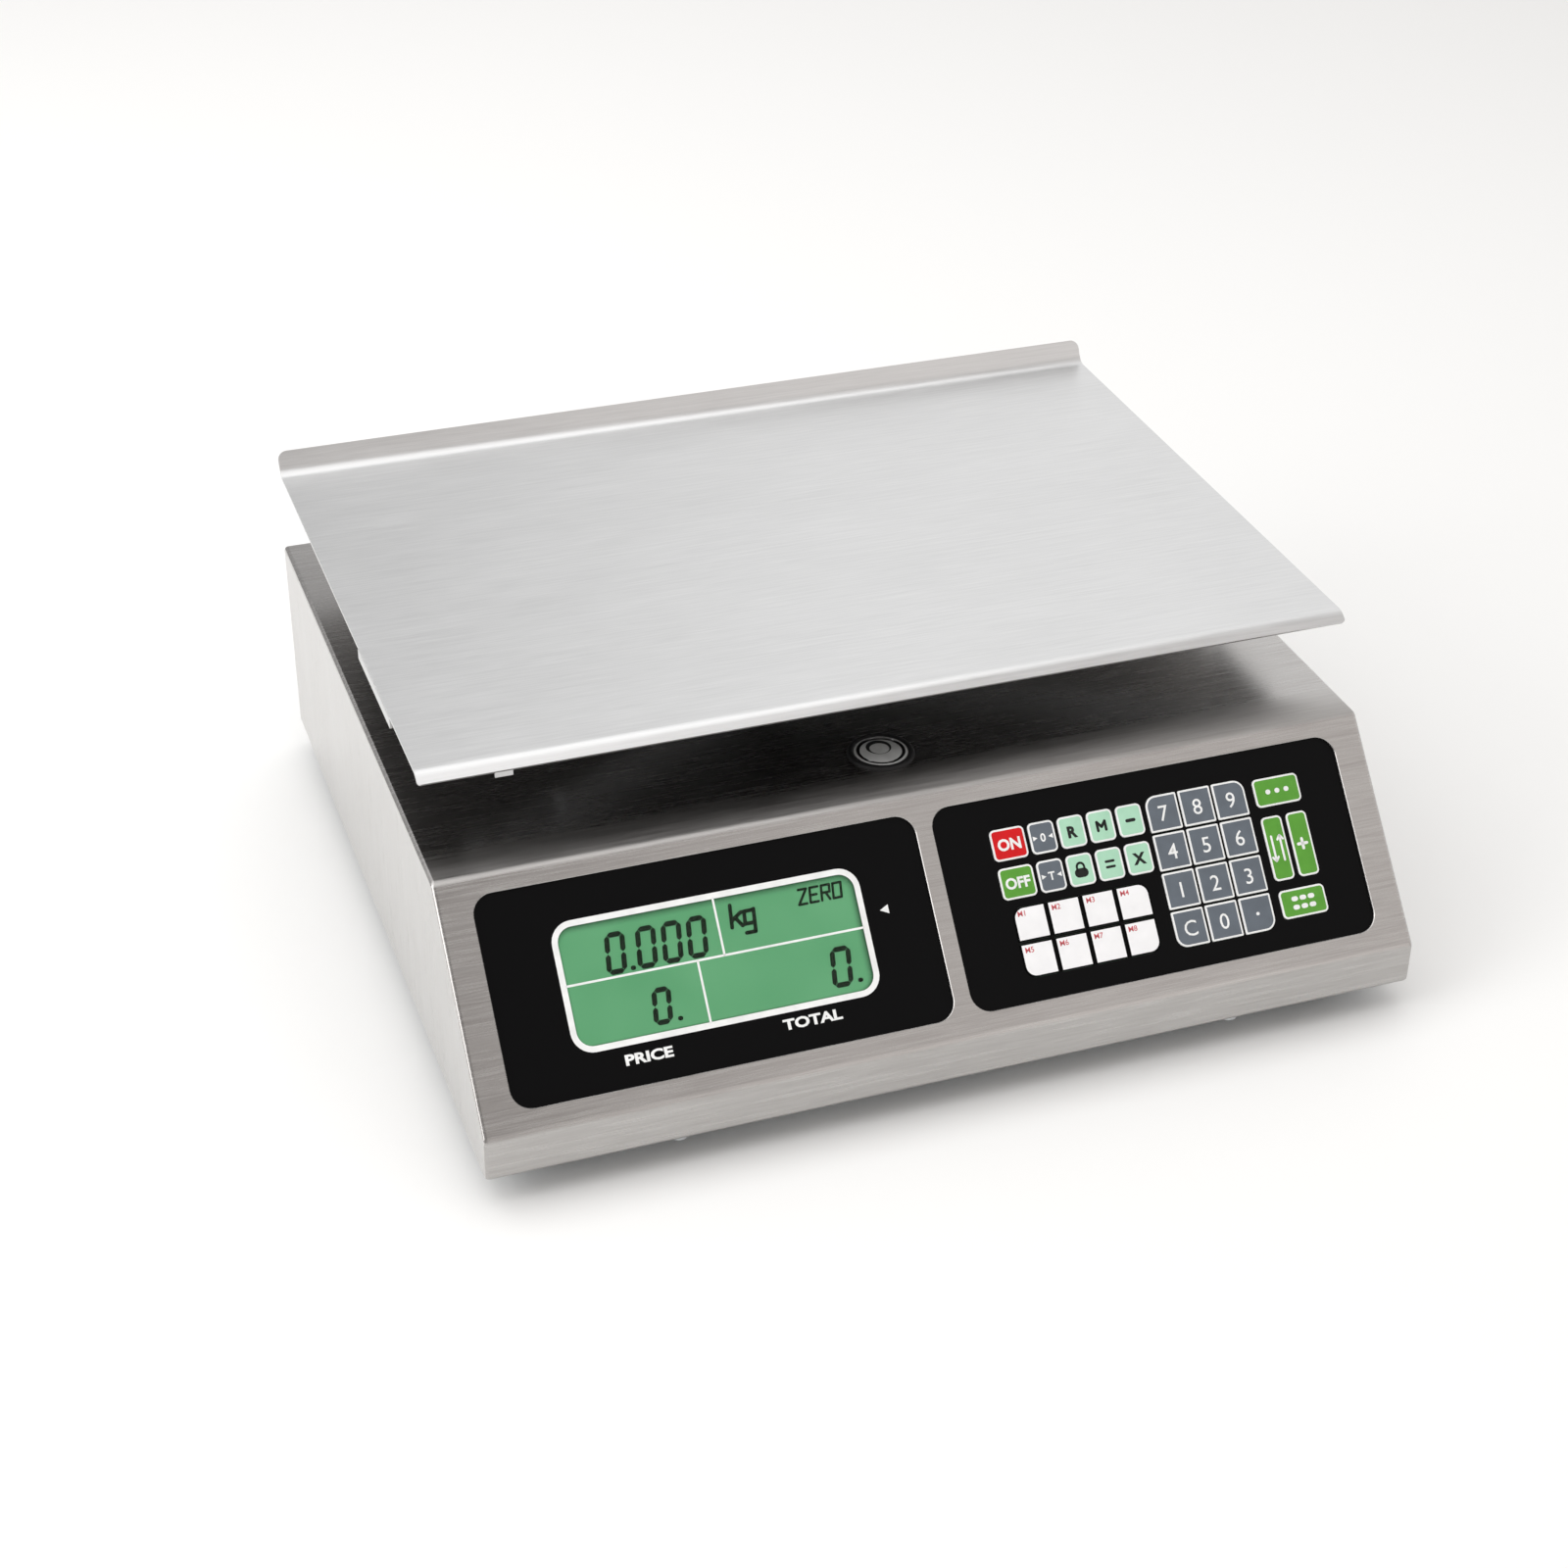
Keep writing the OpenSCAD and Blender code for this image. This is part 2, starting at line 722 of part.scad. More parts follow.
module cell_bracket() {
    color(zinc) translate([0, platter_mid_y, 0]) difference() {
        union() {
            translate([clamp_x, 0, 0])
                plate(cell_top, bracket_z + over)
                    square([cell_end, cell_w], center = true);
            translate([(cell_l / 2 - post_foot_d / 2) / 2, 0, 0])
                plate(bracket_z, post_z)
                    square([cell_l / 2 + post_foot_d / 2, post_foot_d - 10], center = true);
        }
        for (i = [-1, 1])
            translate([clamp_x + i * clamp_pitch / 2, 0, cell_top - over])
                cylinder(d = cell_hole_d, h = post_z);
        for (turn = [45:90:315])
            rotate([0, 0, turn])
                translate([post_screw_r, 0, bracket_z - over])
                    cylinder(d = spider_screw_d + 0.2, h = bracket_t + 2 * over);
    }
}

// Flat outline of the spider: its hub, its four arms and the eye at the end of each
module spider_outline() {
    circle(d = hub_d);
    for (sx = [-1, 1], sy = [-1, 1]) {
        rotate(atan2(sy * pad_y, sx * pad_x))
            translate([0, -arm_w / 2])
                square([norm([pad_x, pad_y]), arm_w]);
        translate([sx * pad_x, sy * pad_y])
            circle(d = pad_d + arm_eye);
    }
}

module spider() {
    rib_h = 6;
    rib_reach = norm([pad_x, pad_y]) * 0.8;
    color(alu) translate([0, platter_mid_y, 0]) difference() {
        union() {
            translate([0, 0, post_z])
                cylinder(d = post_foot_d, h = post_foot_t);
            translate([0, 0, post_z])
                cylinder(d = post_d, h = arm_top - post_z);
            plate(arm_bottom, arm_top)
                spider_outline();
            for (sx = [-1, 1], sy = [-1, 1])
                rotate([0, 0, atan2(sy * pad_y, sx * pad_x)])
                    translate([post_d / 2 - 1, -arm_w / 6, arm_bottom - rib_h])
                        cube([rib_reach - post_d / 2, arm_w / 3, rib_h + over]);
        }
        translate([0, 0, post_z + post_foot_t])
            cylinder(d = post_d - 2 * post_wall, h = arm_top);
        for (turn = [45:90:315])
            rotate([0, 0, turn])
                translate([post_screw_r, 0, post_z - over])
                    cylinder(d = spider_screw_d + 0.4, h = post_foot_t + 2 * over);
        for (sx = [-1, 1], sy = [-1, 1])
            translate([sx * pad_x, sy * pad_y, arm_bottom - over])
                cylinder(d = stem_d, h = arm_t + 2 * over);
    }
}

module spider_screws() {
    color(steel) translate([0, platter_mid_y, 0]) {
        for (i = [-1, 1])
            translate([clamp_x + i * clamp_pitch / 2, 0, post_z])
                socket_screw(cell_screw_d, 10, 6, bracket_step + bracket_t + grip);
        for (turn = [45:90:315])
            rotate([0, 0, turn])
                translate([post_screw_r, 0, post_z + post_foot_t])
                    socket_screw(spider_screw_d, 7, 4, post_foot_t + bracket_t - 1);
    }
}

module support_pads() {
    color(rubber_black) translate([0, platter_mid_y, 0])
        for (sx = [-1, 1], sy = [-1, 1])
            translate([sx * pad_x, sy * pad_y, arm_top]) {
                cylinder(d = pad_d, h = pad_h);
                translate([0, 0, -arm_t])
                    cylinder(d = stem_d - stem_gap, h = arm_t + over);
            }
}

// Points along an arc about mid, from one angle to another
function arc(mid, r, from, to, steps = 8) = [for (i = [0:steps])
    mid + r * [cos(from + (to - from) * i / steps), sin(from + (to - from) * i / steps)]];

// Side view of the platter: its upper face from front to back, then its lower face
function platter_points() = let (
    outer_r = platter_bend_r + platter_t,
    front_mid = [platter_fold_y, platter_top - outer_r],
    back_mid = [platter_bend_y, platter_top + platter_bend_r],
    front_end = 90 + front_fold_a,
    back_end = back_fold_a - 90,
    front_run = front_fold_len * [cos(front_end + 90), sin(front_end + 90)],
    back_run = back_fold_len * [cos(back_fold_a), sin(back_fold_a)],
    top_front = arc(front_mid, outer_r, front_end, 90),
    top_back = arc(back_mid, platter_bend_r, -90, back_end),
    low_back = arc(back_mid, outer_r, back_end, -90),
    low_front = arc(front_mid, platter_bend_r, 90, front_end)) concat(
    [top_front[0] + front_run], top_front, top_back, [top_back[8] + back_run],
    [low_back[0] + back_run], low_back, low_front, [low_front[8] + front_run]);

module platter() {
    color(steel) difference() {
        union() {
            along_x(platter_w)
                polygon(platter_points());
            for (side = [-1, 1])
                translate([side * (platter_w / 2 - platter_t / 2), side_tab_y,
                           platter_top - side_tab_drop / 2])
                    cube([platter_t, side_tab_len, side_tab_drop], center = true);
            translate([-hook_x, platter_fold_y + hook_in, platter_top - hook_drop / 2])
                cube([hook_w, platter_t, hook_drop], center = true);
        }
        for (side = [-1, 1])
            translate([side * platter_w / 2, platter_bend_y + platter_bend_r * sin(back_fold_a),
                       platter_top + platter_bend_r * (1 - cos(back_fold_a))])
                rotate([back_fold_a, 0, 0])
                    plate(-platter_t - over, over)
                        lip_corner_cut(side);
    }
}

// What is cut off the back lip's upper corner, in the plane of the lip
module lip_corner_cut(side) {
    difference() {
        translate([-side * lip_corner_r, back_fold_len - lip_corner_r])
            translate([side < 0 ? -lip_corner_r - over : 0, 0])
                square([lip_corner_r + over, lip_corner_r + over]);
        translate([-side * lip_corner_r, back_fold_len - lip_corner_r])
            circle(lip_corner_r);
    }
}

module foot(f) {
    color(rubber_black) translate([f[1] * foot_x, f[2] * foot_y, 0]) {
        rotate_extrude()
            polygon([[0, 0], [foot_d / 2 - foot_bevel, 0], [foot_d / 2, foot_bevel],
                     [foot_d / 2, foot_pad_h - foot_bevel], [foot_d / 2 - foot_bevel, foot_pad_h],
                     [0, foot_pad_h]]);
        cylinder(d = stud_d, h = stud_top);
    }
}

housing_cover();
base_plate();
cover_screws();
display_panel();
display_window();
lcd_module();
keypad_panel();
keypad_board();
main_board();
battery();
level_cup();
level_lens();
customer_display();
power_inlet();
cell_mount();
cell_screws();
load_cell();
cell_bracket();
spider();
spider_screws();
support_pads();
platter();
for (f = foot_corners) foot(f);
for (k = KEYS) key(k);
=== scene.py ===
"""Price-computing counter scale: stainless housing and platter, black panels, green display, keypad."""
import json
import math

import bmesh
import bpy
from mathutils import Matrix, Quaternion, Vector


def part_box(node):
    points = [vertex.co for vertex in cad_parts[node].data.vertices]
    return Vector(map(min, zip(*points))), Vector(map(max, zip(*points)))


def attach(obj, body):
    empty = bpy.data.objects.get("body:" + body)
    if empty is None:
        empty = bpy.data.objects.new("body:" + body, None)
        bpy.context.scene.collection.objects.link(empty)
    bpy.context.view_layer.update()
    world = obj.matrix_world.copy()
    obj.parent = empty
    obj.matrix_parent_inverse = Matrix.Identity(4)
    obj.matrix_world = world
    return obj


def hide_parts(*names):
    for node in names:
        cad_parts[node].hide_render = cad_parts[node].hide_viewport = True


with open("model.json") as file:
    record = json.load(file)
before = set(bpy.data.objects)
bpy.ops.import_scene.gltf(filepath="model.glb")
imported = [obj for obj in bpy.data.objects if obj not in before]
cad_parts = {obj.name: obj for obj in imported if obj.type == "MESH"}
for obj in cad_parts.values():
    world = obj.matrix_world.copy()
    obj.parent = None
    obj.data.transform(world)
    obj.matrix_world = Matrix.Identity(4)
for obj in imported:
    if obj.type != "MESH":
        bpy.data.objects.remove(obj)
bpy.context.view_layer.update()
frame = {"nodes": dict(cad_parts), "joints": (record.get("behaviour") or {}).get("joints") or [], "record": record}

MM = 0.001
# Sheet metal of the housing
SHEET = 1.2 * MM
FOLD_R = 2 * MM            # outside radius of the housing's folds
FLANGE = 14 * MM           # width of the flange turned in under the housing
CUT_EDGE = 0.25 * MM       # chamfer that deburring leaves on a laser-cut edge
LEVEL_HOLE = 22.2 * MM     # across the holes in the housing's top and back
POST_HOLE = 68 * MM
INLET_HOLE = 12 * MM
# Platter
PLATTER_BEND_R = 6 * MM    # inside the platter's bends
LIP_CORNER_R = 4 * MM
FRONT_CORNER_R = 1.5 * MM
FRONT_FOLD_DEG = 35
FRONT_FOLD = 3 * MM        # straight part of the platter's front edge
BACK_FOLD_DEG = 62
BACK_FOLD = 7 * MM         # straight part of the platter's back lip
TAB_DROP = 6 * MM          # side tabs: drop below the top, length and middle
TAB_LEN = 55 * MM
TAB_Y = -18 * MM
HOOK_IN = (34 * MM, 2 * MM)        # small tab: in from the left edge and behind the front fold
HOOK_DROP = 6 * MM         # its middle below the top
HOOK_SIZE = (7 * MM, SHEET, 10 * MM)
# Panels and keys
PANEL_LAP = 3 * MM         # what the housing hides of a panel's edge
PANEL_R = 8 * MM
WINDOW_R = 8 * MM
FRAME_LINE = 2.0 * MM      # white frame printed round the display
SEGMENT = 2.0 * MM         # stroke of the display's segments
DIVIDER = 0.85 * MM        # white lines that divide the display
REAR_LAP = 12 * MM         # how much wider the buyer's display is than its window
REAR_R = 5 * MM
KEY_R = 2 * MM
BLOCK_R = 4.5 * MM         # outer corners of a block of keys
BLOCK_INNER_R = 0.6 * MM
KEY_BORDER = 0.55 * MM     # white outline printed round a key
DARK_BORDER = 0.3 * MM     # black outline printed round a white key
INK = 0.02 * MM            # height of a printed mark above its film
# Feet
PAD_H = 8 * MM
PAD_ROUND = 1.6 * MM
STUD_R = 3 * MM
THREAD_PITCH = 1 * MM


# ---------------------------------------------------------------- camera and light

def set_camera():
    """Camera above and to the left of the front, as a catalogue shows a counter scale."""
    eye = Vector((-0.3553, -0.9470, 0.6911))
    target = Vector((-0.0182, -0.0073, 0.0497))
    roll = math.radians(0.6)
    data = bpy.data.cameras.new("catalogue_camera")
    data.sensor_width = 36
    data.lens = 65.16
    data.clip_start = 0.01
    camera = bpy.data.objects.new("catalogue_camera", data)
    bpy.context.scene.collection.objects.link(camera)
    aim = (target - eye).to_track_quat("-Z", "Y")
    camera.location = eye
    camera.rotation_mode = "QUATERNION"
    camera.rotation_quaternion = aim @ Quaternion((0, 0, 1), roll)
    bpy.context.scene.camera = camera


def linear(code):
    """Linear colour of an sRGB hex code."""
    parts = [int(code[i:i + 2], 16) / 255 for i in (1, 3, 5)]
    return (*[p / 12.92 if p <= 0.04045 else ((p + 0.055) / 1.055) ** 2.4 for p in parts], 1.0)


def add(tree, kind, inputs=(), **settings):
    """Adds a node with its settings. Each input is a value, or a socket that is linked to it."""
    made = tree.nodes.new(kind)
    for name, value in settings.items():
        setattr(made, name, value)
    for socket, value in dict(inputs).items():
        if isinstance(value, bpy.types.NodeSocket):
            tree.links.new(value, made.inputs[socket])
        else:
            made.inputs[socket].default_value = value
    return made


def calc(tree, operation, *values):
    """Arithmetic on values or sockets."""
    return add(tree, "ShaderNodeMath", dict(enumerate(values)), operation=operation).outputs[0]


def softbox(name, at, target, size, power):
    """Area light of the studio, aimed at a point."""
    data = bpy.data.lights.new(name, "AREA")
    data.shape = "RECTANGLE"
    data.size, data.size_y = size
    data.energy = power
    light = bpy.data.objects.new(name, data)
    bpy.context.scene.collection.objects.link(light)
    light.location = at
    light.rotation_euler = (Vector(target) - Vector(at)).to_track_quat("-Z", "Y").to_euler()


def set_studio():
    """White room, darker to the front, on the left and overhead, three softboxes and a pale floor."""
    world = bpy.data.worlds.new("white_room")
    bpy.context.scene.world = world
    world.use_nodes = True
    tree = world.node_tree
    tree.nodes.clear()
    direction = add(tree, "ShaderNodeTexCoord").outputs["Generated"]
    parts = add(tree, "ShaderNodeSeparateXYZ", {0: direction}).outputs

    def fade(axis, start, end, low, high):
        return add(tree, "ShaderNodeMapRange", {"Value": parts[axis], "From Min": start, "From Max": end,
                                                "To Min": low, "To Max": high}).outputs[0]

    depth = fade("Y", -0.7, 0.4, 0.88, 1.12)
    front = fade("Y", -0.92, -0.7, 1.35, 1.0)
    across = fade("X", 0.08, 0.3, 0.45, 1.0)
    ceiling = fade("Z", 0.75, 0.95, 1.0, 0.55)
    tint = add(tree, "ShaderNodeMix", {0: fade("Y", -0.6, 0.5, 0.0, 1.0), 6: linear("#fffaf7"),
                                       7: linear("#ffffff")}, data_type="RGBA").outputs[2]
    background = add(tree, "ShaderNodeBackground", {
        "Color": tint, "Strength": calc(tree, "MULTIPLY", calc(tree, "MULTIPLY", depth, front),
                                        calc(tree, "MULTIPLY", across, ceiling))})
    add(tree, "ShaderNodeOutputWorld", {"Surface": background.outputs[0]})
    softbox("overhead_softbox", (-0.4, 0.2, 2.0), (0, 0, 0.1), (2.6, 2.4), 24)
    softbox("high_left_softbox", (-1.35, 0.45, 1.7), (0, 0, 0.1), (1.8, 1.8), 6)
    softbox("low_left_softbox", (-1.7, -0.3, 0.9), (0, 0, 0.05), (1.0, 1.2), 10)

    floor = bpy.data.meshes.new("floor")
    reach = 6
    floor.from_pydata([(-reach, -reach, 0), (reach, -reach, 0), (reach, reach, 0), (-reach, reach, 0)], [],
                      [(0, 1, 2, 3)])
    floor_object = bpy.data.objects.new("floor", floor)
    bpy.context.scene.collection.objects.link(floor_object)
    material = new_material("pale_paper_sweep")
    shader(material, {"Base Color": linear("#f7f7f6"), "Roughness": 0.9, "Specular IOR Level": 0.1})
    floor.materials.append(material)


# ---------------------------------------------------------------- materials

def new_material(name):
    material = bpy.data.materials.new(name)
    material.use_nodes = True
    material.node_tree.nodes.clear()
    return material


def shader(material, inputs):
    """Principled shader with its output. Returns the finished material."""
    tree = material.node_tree
    principled = add(tree, "ShaderNodeBsdfPrincipled", inputs)
    add(tree, "ShaderNodeOutputMaterial", {"Surface": principled.outputs[0]})
    return material


def object_pattern(material, *period):
    """Object coordinates divided by a period in millimetres: one for all axes, or one for each."""
    place = add(material.node_tree, "ShaderNodeTexCoord").outputs["Object"]
    scale = [1 / (size * MM) for size in (period * 3)[:3]]
    return add(material.node_tree, "ShaderNodeMapping", {"Vector": place, "Scale": scale}).outputs[0]


def noise(material, period, detail, rough=0.5):
    """Noise whose cells are about the given millimetres wide: one number, or one for each axis."""
    periods = period if isinstance(period, (list, tuple)) else [period]
    return add(material.node_tree, "ShaderNodeTexNoise", {
        "Vector": object_pattern(material, *periods), "Scale": 1.0, "Detail": detail,
        "Roughness": rough}).outputs["Fac"]


def ramp(material, value, low, high, start=0.3, end=0.7):
    """Maps a noise onto a range of values."""
    return add(material.node_tree, "ShaderNodeMapRange",
               {"Value": value, "From Min": start, "From Max": end, "To Min": low, "To Max": high}).outputs[0]


def blend_colour(material, value, low, high):
    return add(material.node_tree, "ShaderNodeMix", {0: value, 6: linear(low), 7: linear(high)},
               data_type="RGBA").outputs[2]


def bump(material, height, depth):
    """Normal of a relief that is depth millimetres high."""
    return add(material.node_tree, "ShaderNodeBump",
               {"Height": height, "Distance": depth * MM, "Strength": 1.0}).outputs[0]


def brushed_stainless(name, grain_axis, dark="#aaa7a5", light="#bdbbb9", rough=(0.2, 0.3)):
    """304 stainless sheet, belt-brushed: fine straight scratches along the grain that smear
    reflections across it, with a faint clouding where the belt pressed harder."""
    material = new_material(name)
    tree = material.node_tree

    def streaks(across, along, detail):
        period = [across] * 3
        period[grain_axis] = along
        return noise(material, period, detail, 0.6)

    # real scratches are about 0.1 mm apart, drawn coarser to show
    scratches = streaks(0.5, 16, 3.0)
    strands = streaks(1.4, 45, 2.0)
    cloud = streaks(30, 60, 2.0)
    both = calc(tree, "ADD", scratches, strands)
    shade = calc(tree, "MULTIPLY_ADD", cloud, 0.35, both)
    along_grain = [0.0, 0.0, 0.0]
    along_grain[grain_axis] = 1.0
    return shader(material, {
        "Base Color": blend_colour(material, ramp(material, shade, 0, 1, 0.85, 1.5), dark, light),
        "Metallic": 1.0,
        "Roughness": ramp(material, both, *rough, 0.7, 1.3),
        "Anisotropic": 0.5,
        "Anisotropic Rotation": 0.25,
        "Tangent": add(tree, "ShaderNodeCombineXYZ", dict(enumerate(along_grain))).outputs[0],
        "Normal": bump(material, scratches, 0.006)})


def soften_ridge(material, ridge_y, top):
    """Rougher brushing on the flat top next to the ridge, less on the left, where the folded
    edge was blended by hand: it spreads the light that comes from the front."""
    reach = 22 * MM
    extra = 0.42               # added roughness at the ridge
    tree = material.node_tree
    surface = next(node for node in tree.nodes if node.type == "BSDF_PRINCIPLED")
    brushed = surface.inputs["Roughness"].links[0].from_socket
    place = add(tree, "ShaderNodeSeparateXYZ", {0: add(tree, "ShaderNodeTexCoord").outputs["Object"]}).outputs
    near = ramp(material, place["Y"], extra, 0.0, ridge_y, ridge_y + reach)
    on_top = ramp(material, place["Z"], 0.0, 1.0, top - 1.2 * MM, top - 0.3 * MM)
    to_right = ramp(material, place["X"], 0.45, 1.0, -60 * MM, 80 * MM)
    where = calc(tree, "MULTIPLY", on_top, to_right)
    tree.links.new(calc(tree, "MULTIPLY_ADD", near, where, brushed), surface.inputs["Roughness"])


def satin_film(name, colour, ink="#000000", share=0.06, specular=0.5, rough=0.34):
    """Screen-printed polycarbonate film with a fine texture: an even colour with the slight
    unevenness of ink, and a soft sheen."""
    material = new_material(name)
    grit = noise(material, 0.35, 2.0)
    cloud = noise(material, 6, 2.0)
    return shader(material, {
        "Base Color": blend_colour(material, ramp(material, cloud, 0, share), colour, ink),
        "Roughness": ramp(material, grit, rough - 0.05, rough + 0.06),
        "Specular IOR Level": specular,
        "IOR": 1.58,
        "Normal": bump(material, grit, 0.006)})


def grained(name, texture, colours, rough, depth, share=1.0, extra=()):
    """Finish whose colour, roughness and relief follow one noise: texture is its period in
    millimetres, detail and roughness."""
    material = new_material(name)
    grain = noise(material, *texture)
    return shader(material, {
        "Base Color": blend_colour(material, ramp(material, grain, 0, share), *colours),
        "Roughness": ramp(material, grain, *rough),
        "Normal": bump(material, grain, depth), **dict(extra)})


def moulded_plastic(name, colour, rough=0.45):
    """Injection-moulded ABS: fine spark-eroded texture that breaks up the highlight."""
    return grained(name, (0.8, 3.0, 0.6), (colour, "#000000"), (rough - 0.06, rough + 0.08), 0.02, 0.12)


def zinc_plated(name="zinc_plated_steel", light="#c3c8ca", dark="#9ea5aa"):
    """Cold-rolled steel, zinc plated and passivated: bluish grey with soft crystalline patches."""
    material = new_material(name)
    cells = add(material.node_tree, "ShaderNodeTexVoronoi",
                {"Vector": object_pattern(material, 7), "Scale": 1.0}).outputs["Color"]
    patch = add(material.node_tree, "ShaderNodeSeparateColor", {0: cells}).outputs[0]
    fine = noise(material, 1.2, 3.0)
    return shader(material, {
        "Base Color": blend_colour(material, patch, dark, light),
        "Metallic": 1.0,
        "Roughness": ramp(material, fine, 0.32, 0.5),
        "Normal": bump(material, fine, 0.01)})


def lacquered_board():
    """Glass-fibre board under green solder mask: the weave shows faintly through the lacquer."""
    material = new_material("solder_masked_glass_fibre")
    weave = add(material.node_tree, "ShaderNodeTexWave",
                {"Vector": object_pattern(material, 2), "Scale": 1.0, "Distortion": 0.6},
                wave_type="BANDS").outputs["Fac"]
    blotch = noise(material, 9, 2.0)
    return shader(material, {
        "Base Color": blend_colour(material, ramp(material, blotch, 0, 1), "#0f4a28", "#1c6b3c"),
        "Roughness": ramp(material, weave, 0.25, 0.36, 0, 1),
        "Coat Weight": 0.3,
        "Normal": bump(material, weave, 0.01)})


def backlit_lcd():
    """Liquid-crystal glass over a green backlight: an even glow with a faint mottle, and a painted
    shadow that darkens the glow along the edges that the window's rim shades."""
    material = new_material("backlit_twisted_nematic_glass")
    mottle = noise(material, 22, 1.0)
    colour = blend_colour(material, ramp(material, mottle, 0, 1), "#5e9f70", "#66a677")
    # painted shadow: the glow is scaled down near the rim by a value stored on the glass's points
    rim_shadowed_glow = add(material.node_tree, "ShaderNodeAttribute", attribute_name="edge_light").outputs["Fac"]
    return shader(material, {
        "Base Color": linear("#10261a"),
        "Roughness": 0.35,
        "Specular IOR Level": 0.1,
        "Emission Color": colour,
        "Emission Strength": rim_shadowed_glow})


def clear_acrylic():
    """Cast acrylic pane with an anti-reflection coating: clear, hardly any glare, so its index
    is set low, with a faint waviness in what it still reflects."""
    material = new_material("coated_cast_acrylic")
    wave = noise(material, 30, 1.0)
    return shader(material, {
        "Base Color": linear("#fbfdfc"),
        "Roughness": 0.02,
        "IOR": 1.16,
        "Transmission Weight": 1.0,
        "Specular IOR Level": 0.5,
        "Normal": bump(material, wave, 0.02)})


def liquid_glass(name, low, high):
    """Moulded acrylic lens over the spirit level's liquid: grey, glossy and slightly rippled."""
    material = new_material(name)
    ripple = noise(material, 5, 1.0)
    return shader(material, {
        "Base Color": blend_colour(material, ramp(material, ripple, 0, 1), low, high),
        "Roughness": 0.08,
        "IOR": 1.49,
        "Coat Weight": 0.6,
        "Normal": bump(material, ripple, 0.03)})


# one sheet in two copies: the sides' copy has a lighter colour than the front and top, painted light and shade
STEEL_X = brushed_stainless("belt_brushed_stainless_along_front", 0)
STEEL_Z_PAINTED_LIGHTER = brushed_stainless("belt_brushed_stainless_down_sides", 2, "#cccac8", "#dbdad9", (0.26, 0.36))
PLATTER_STEEL = brushed_stainless("belt_brushed_stainless_platter", 0, "#cdcdcd", "#dadada", (0.3, 0.4))
# the platter's underside gets a dark grey copy of its steel: painted shade, which also darkens what the housing's
# top reflects under the platter
UNDERSIDE_SHADE_STEEL = brushed_stainless("mill_finish_stainless_underside", 0, "#565453", "#6a6866", (0.3, 0.42))
BLACK_FILM = satin_film("back_printed_black_film", "#060607", specular=0.07, rough=0.36)
WHITE_INK = satin_film("screen_printed_white_ink", "#fbfcfb", "#dfe1e0", 0.5, 0.2, 0.45)
BLACK_INK = satin_film("screen_printed_black_ink", "#0d100e", specular=0.3, rough=0.45)
RED_INK = satin_film("screen_printed_red_ink", "#d05a62", specular=0.3, rough=0.45)
KEY_FILMS = {
    "key_red": satin_film("key_film_signal_red", "#dd1219", "#8c0c10", 0.2, 0.2),
    "key_green": satin_film("key_film_leaf_green", "#5fa33b", "#3c7a20", 0.2, 0.2),
    "key_mint": satin_film("key_film_mint", "#b4e2c6", "#86b99a", 0.2, 0.2),
    "key_white": satin_film("key_film_white", "#fdfdfe", "#dcdddf", 0.2, 0.2),
    "key_grey": satin_film("key_film_slate_grey", "#69717a", "#50555b", 0.25, 0.2),
}
BLACK_ABS = moulded_plastic("spark_textured_black_abs", "#1a1a1b")
DULL_BLACK = moulded_plastic("dull_moulded_black_abs_bezel", "#040405", 0.62)
BATTERY_ABS = moulded_plastic("spark_textured_grey_abs", "#34363b")
# black EPDM, matt with a faint bloom that lightens the high spots
RUBBER = grained("moulded_epdm_rubber", (1.5, 4.0, 0.65), ("#17171a", "#2b2b2d"), (0.62, 0.85), 0.05,
                 extra={"Specular IOR Level": 0.35})
ZINC = zinc_plated()
SCREW_STEEL = zinc_plated("zinc_plated_screw_steel", "#d2d5d6", "#b4b8ba")
# tumbled after casting: a coarse matt skin with shallow pits
CAST_ALU = grained("sand_cast_aluminium", (1.6, 5.0, 0.6), ("#a3a5a8", "#c2c4c6"), (0.5, 0.68), 0.12,
                   extra={"Metallic": 1.0})
# extruded, milled and clear anodised: faint tool lines across the bar
CELL_ALU = grained("milled_anodised_aluminium", ((0.6, 20, 6), 3.0), ("#c4c6c9", "#dcdddf"), (0.28, 0.42),
                   0.01, extra={"Metallic": 1.0})
BOARD = lacquered_board()
LCD_GREEN = backlit_lcd()
LCD_INK = satin_film("liquid_crystal_segment_black", "#0a2410", specular=0.15, rough=0.4)
ACRYLIC = clear_acrylic()
LEVEL_LENS = liquid_glass("moulded_acrylic_level_lens", "#c2c4c3", "#d2d4d3")
LEVEL_RIM = liquid_glass("moulded_acrylic_dark_rim", "#131414", "#1b1c1c")


# ---------------------------------------------------------------- mesh tools

def finish_mesh(name, bm, materials=(), smooth_deg=None):
    """Turns a bmesh into a piece at the origin, with outward normals."""
    mesh = bpy.data.meshes.new(name)
    bm.to_mesh(mesh)
    bm.free()
    for material in materials:
        mesh.materials.append(material)
    if smooth_deg is not None:
        mesh.shade_smooth()
        mesh.set_sharp_from_angle(angle=math.radians(smooth_deg))
    piece = bpy.data.objects.new(name, mesh)
    bpy.context.scene.collection.objects.link(piece)
    return piece


def hand_in(piece, body, slot, *nodes):
    """Makes a finished piece ride on a body, and stand for CAD nodes."""
    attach(piece, body)
    if nodes:
        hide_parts(*nodes)


def place_piece(name, bm, place, materials, slot, *nodes, body="housing", smooth_deg=None):
    """Moves a mesh to its place and hands it in as a piece."""
    bm.transform(place)
    hand_in(finish_mesh(name, bm, materials, smooth_deg), body, slot, *nodes)


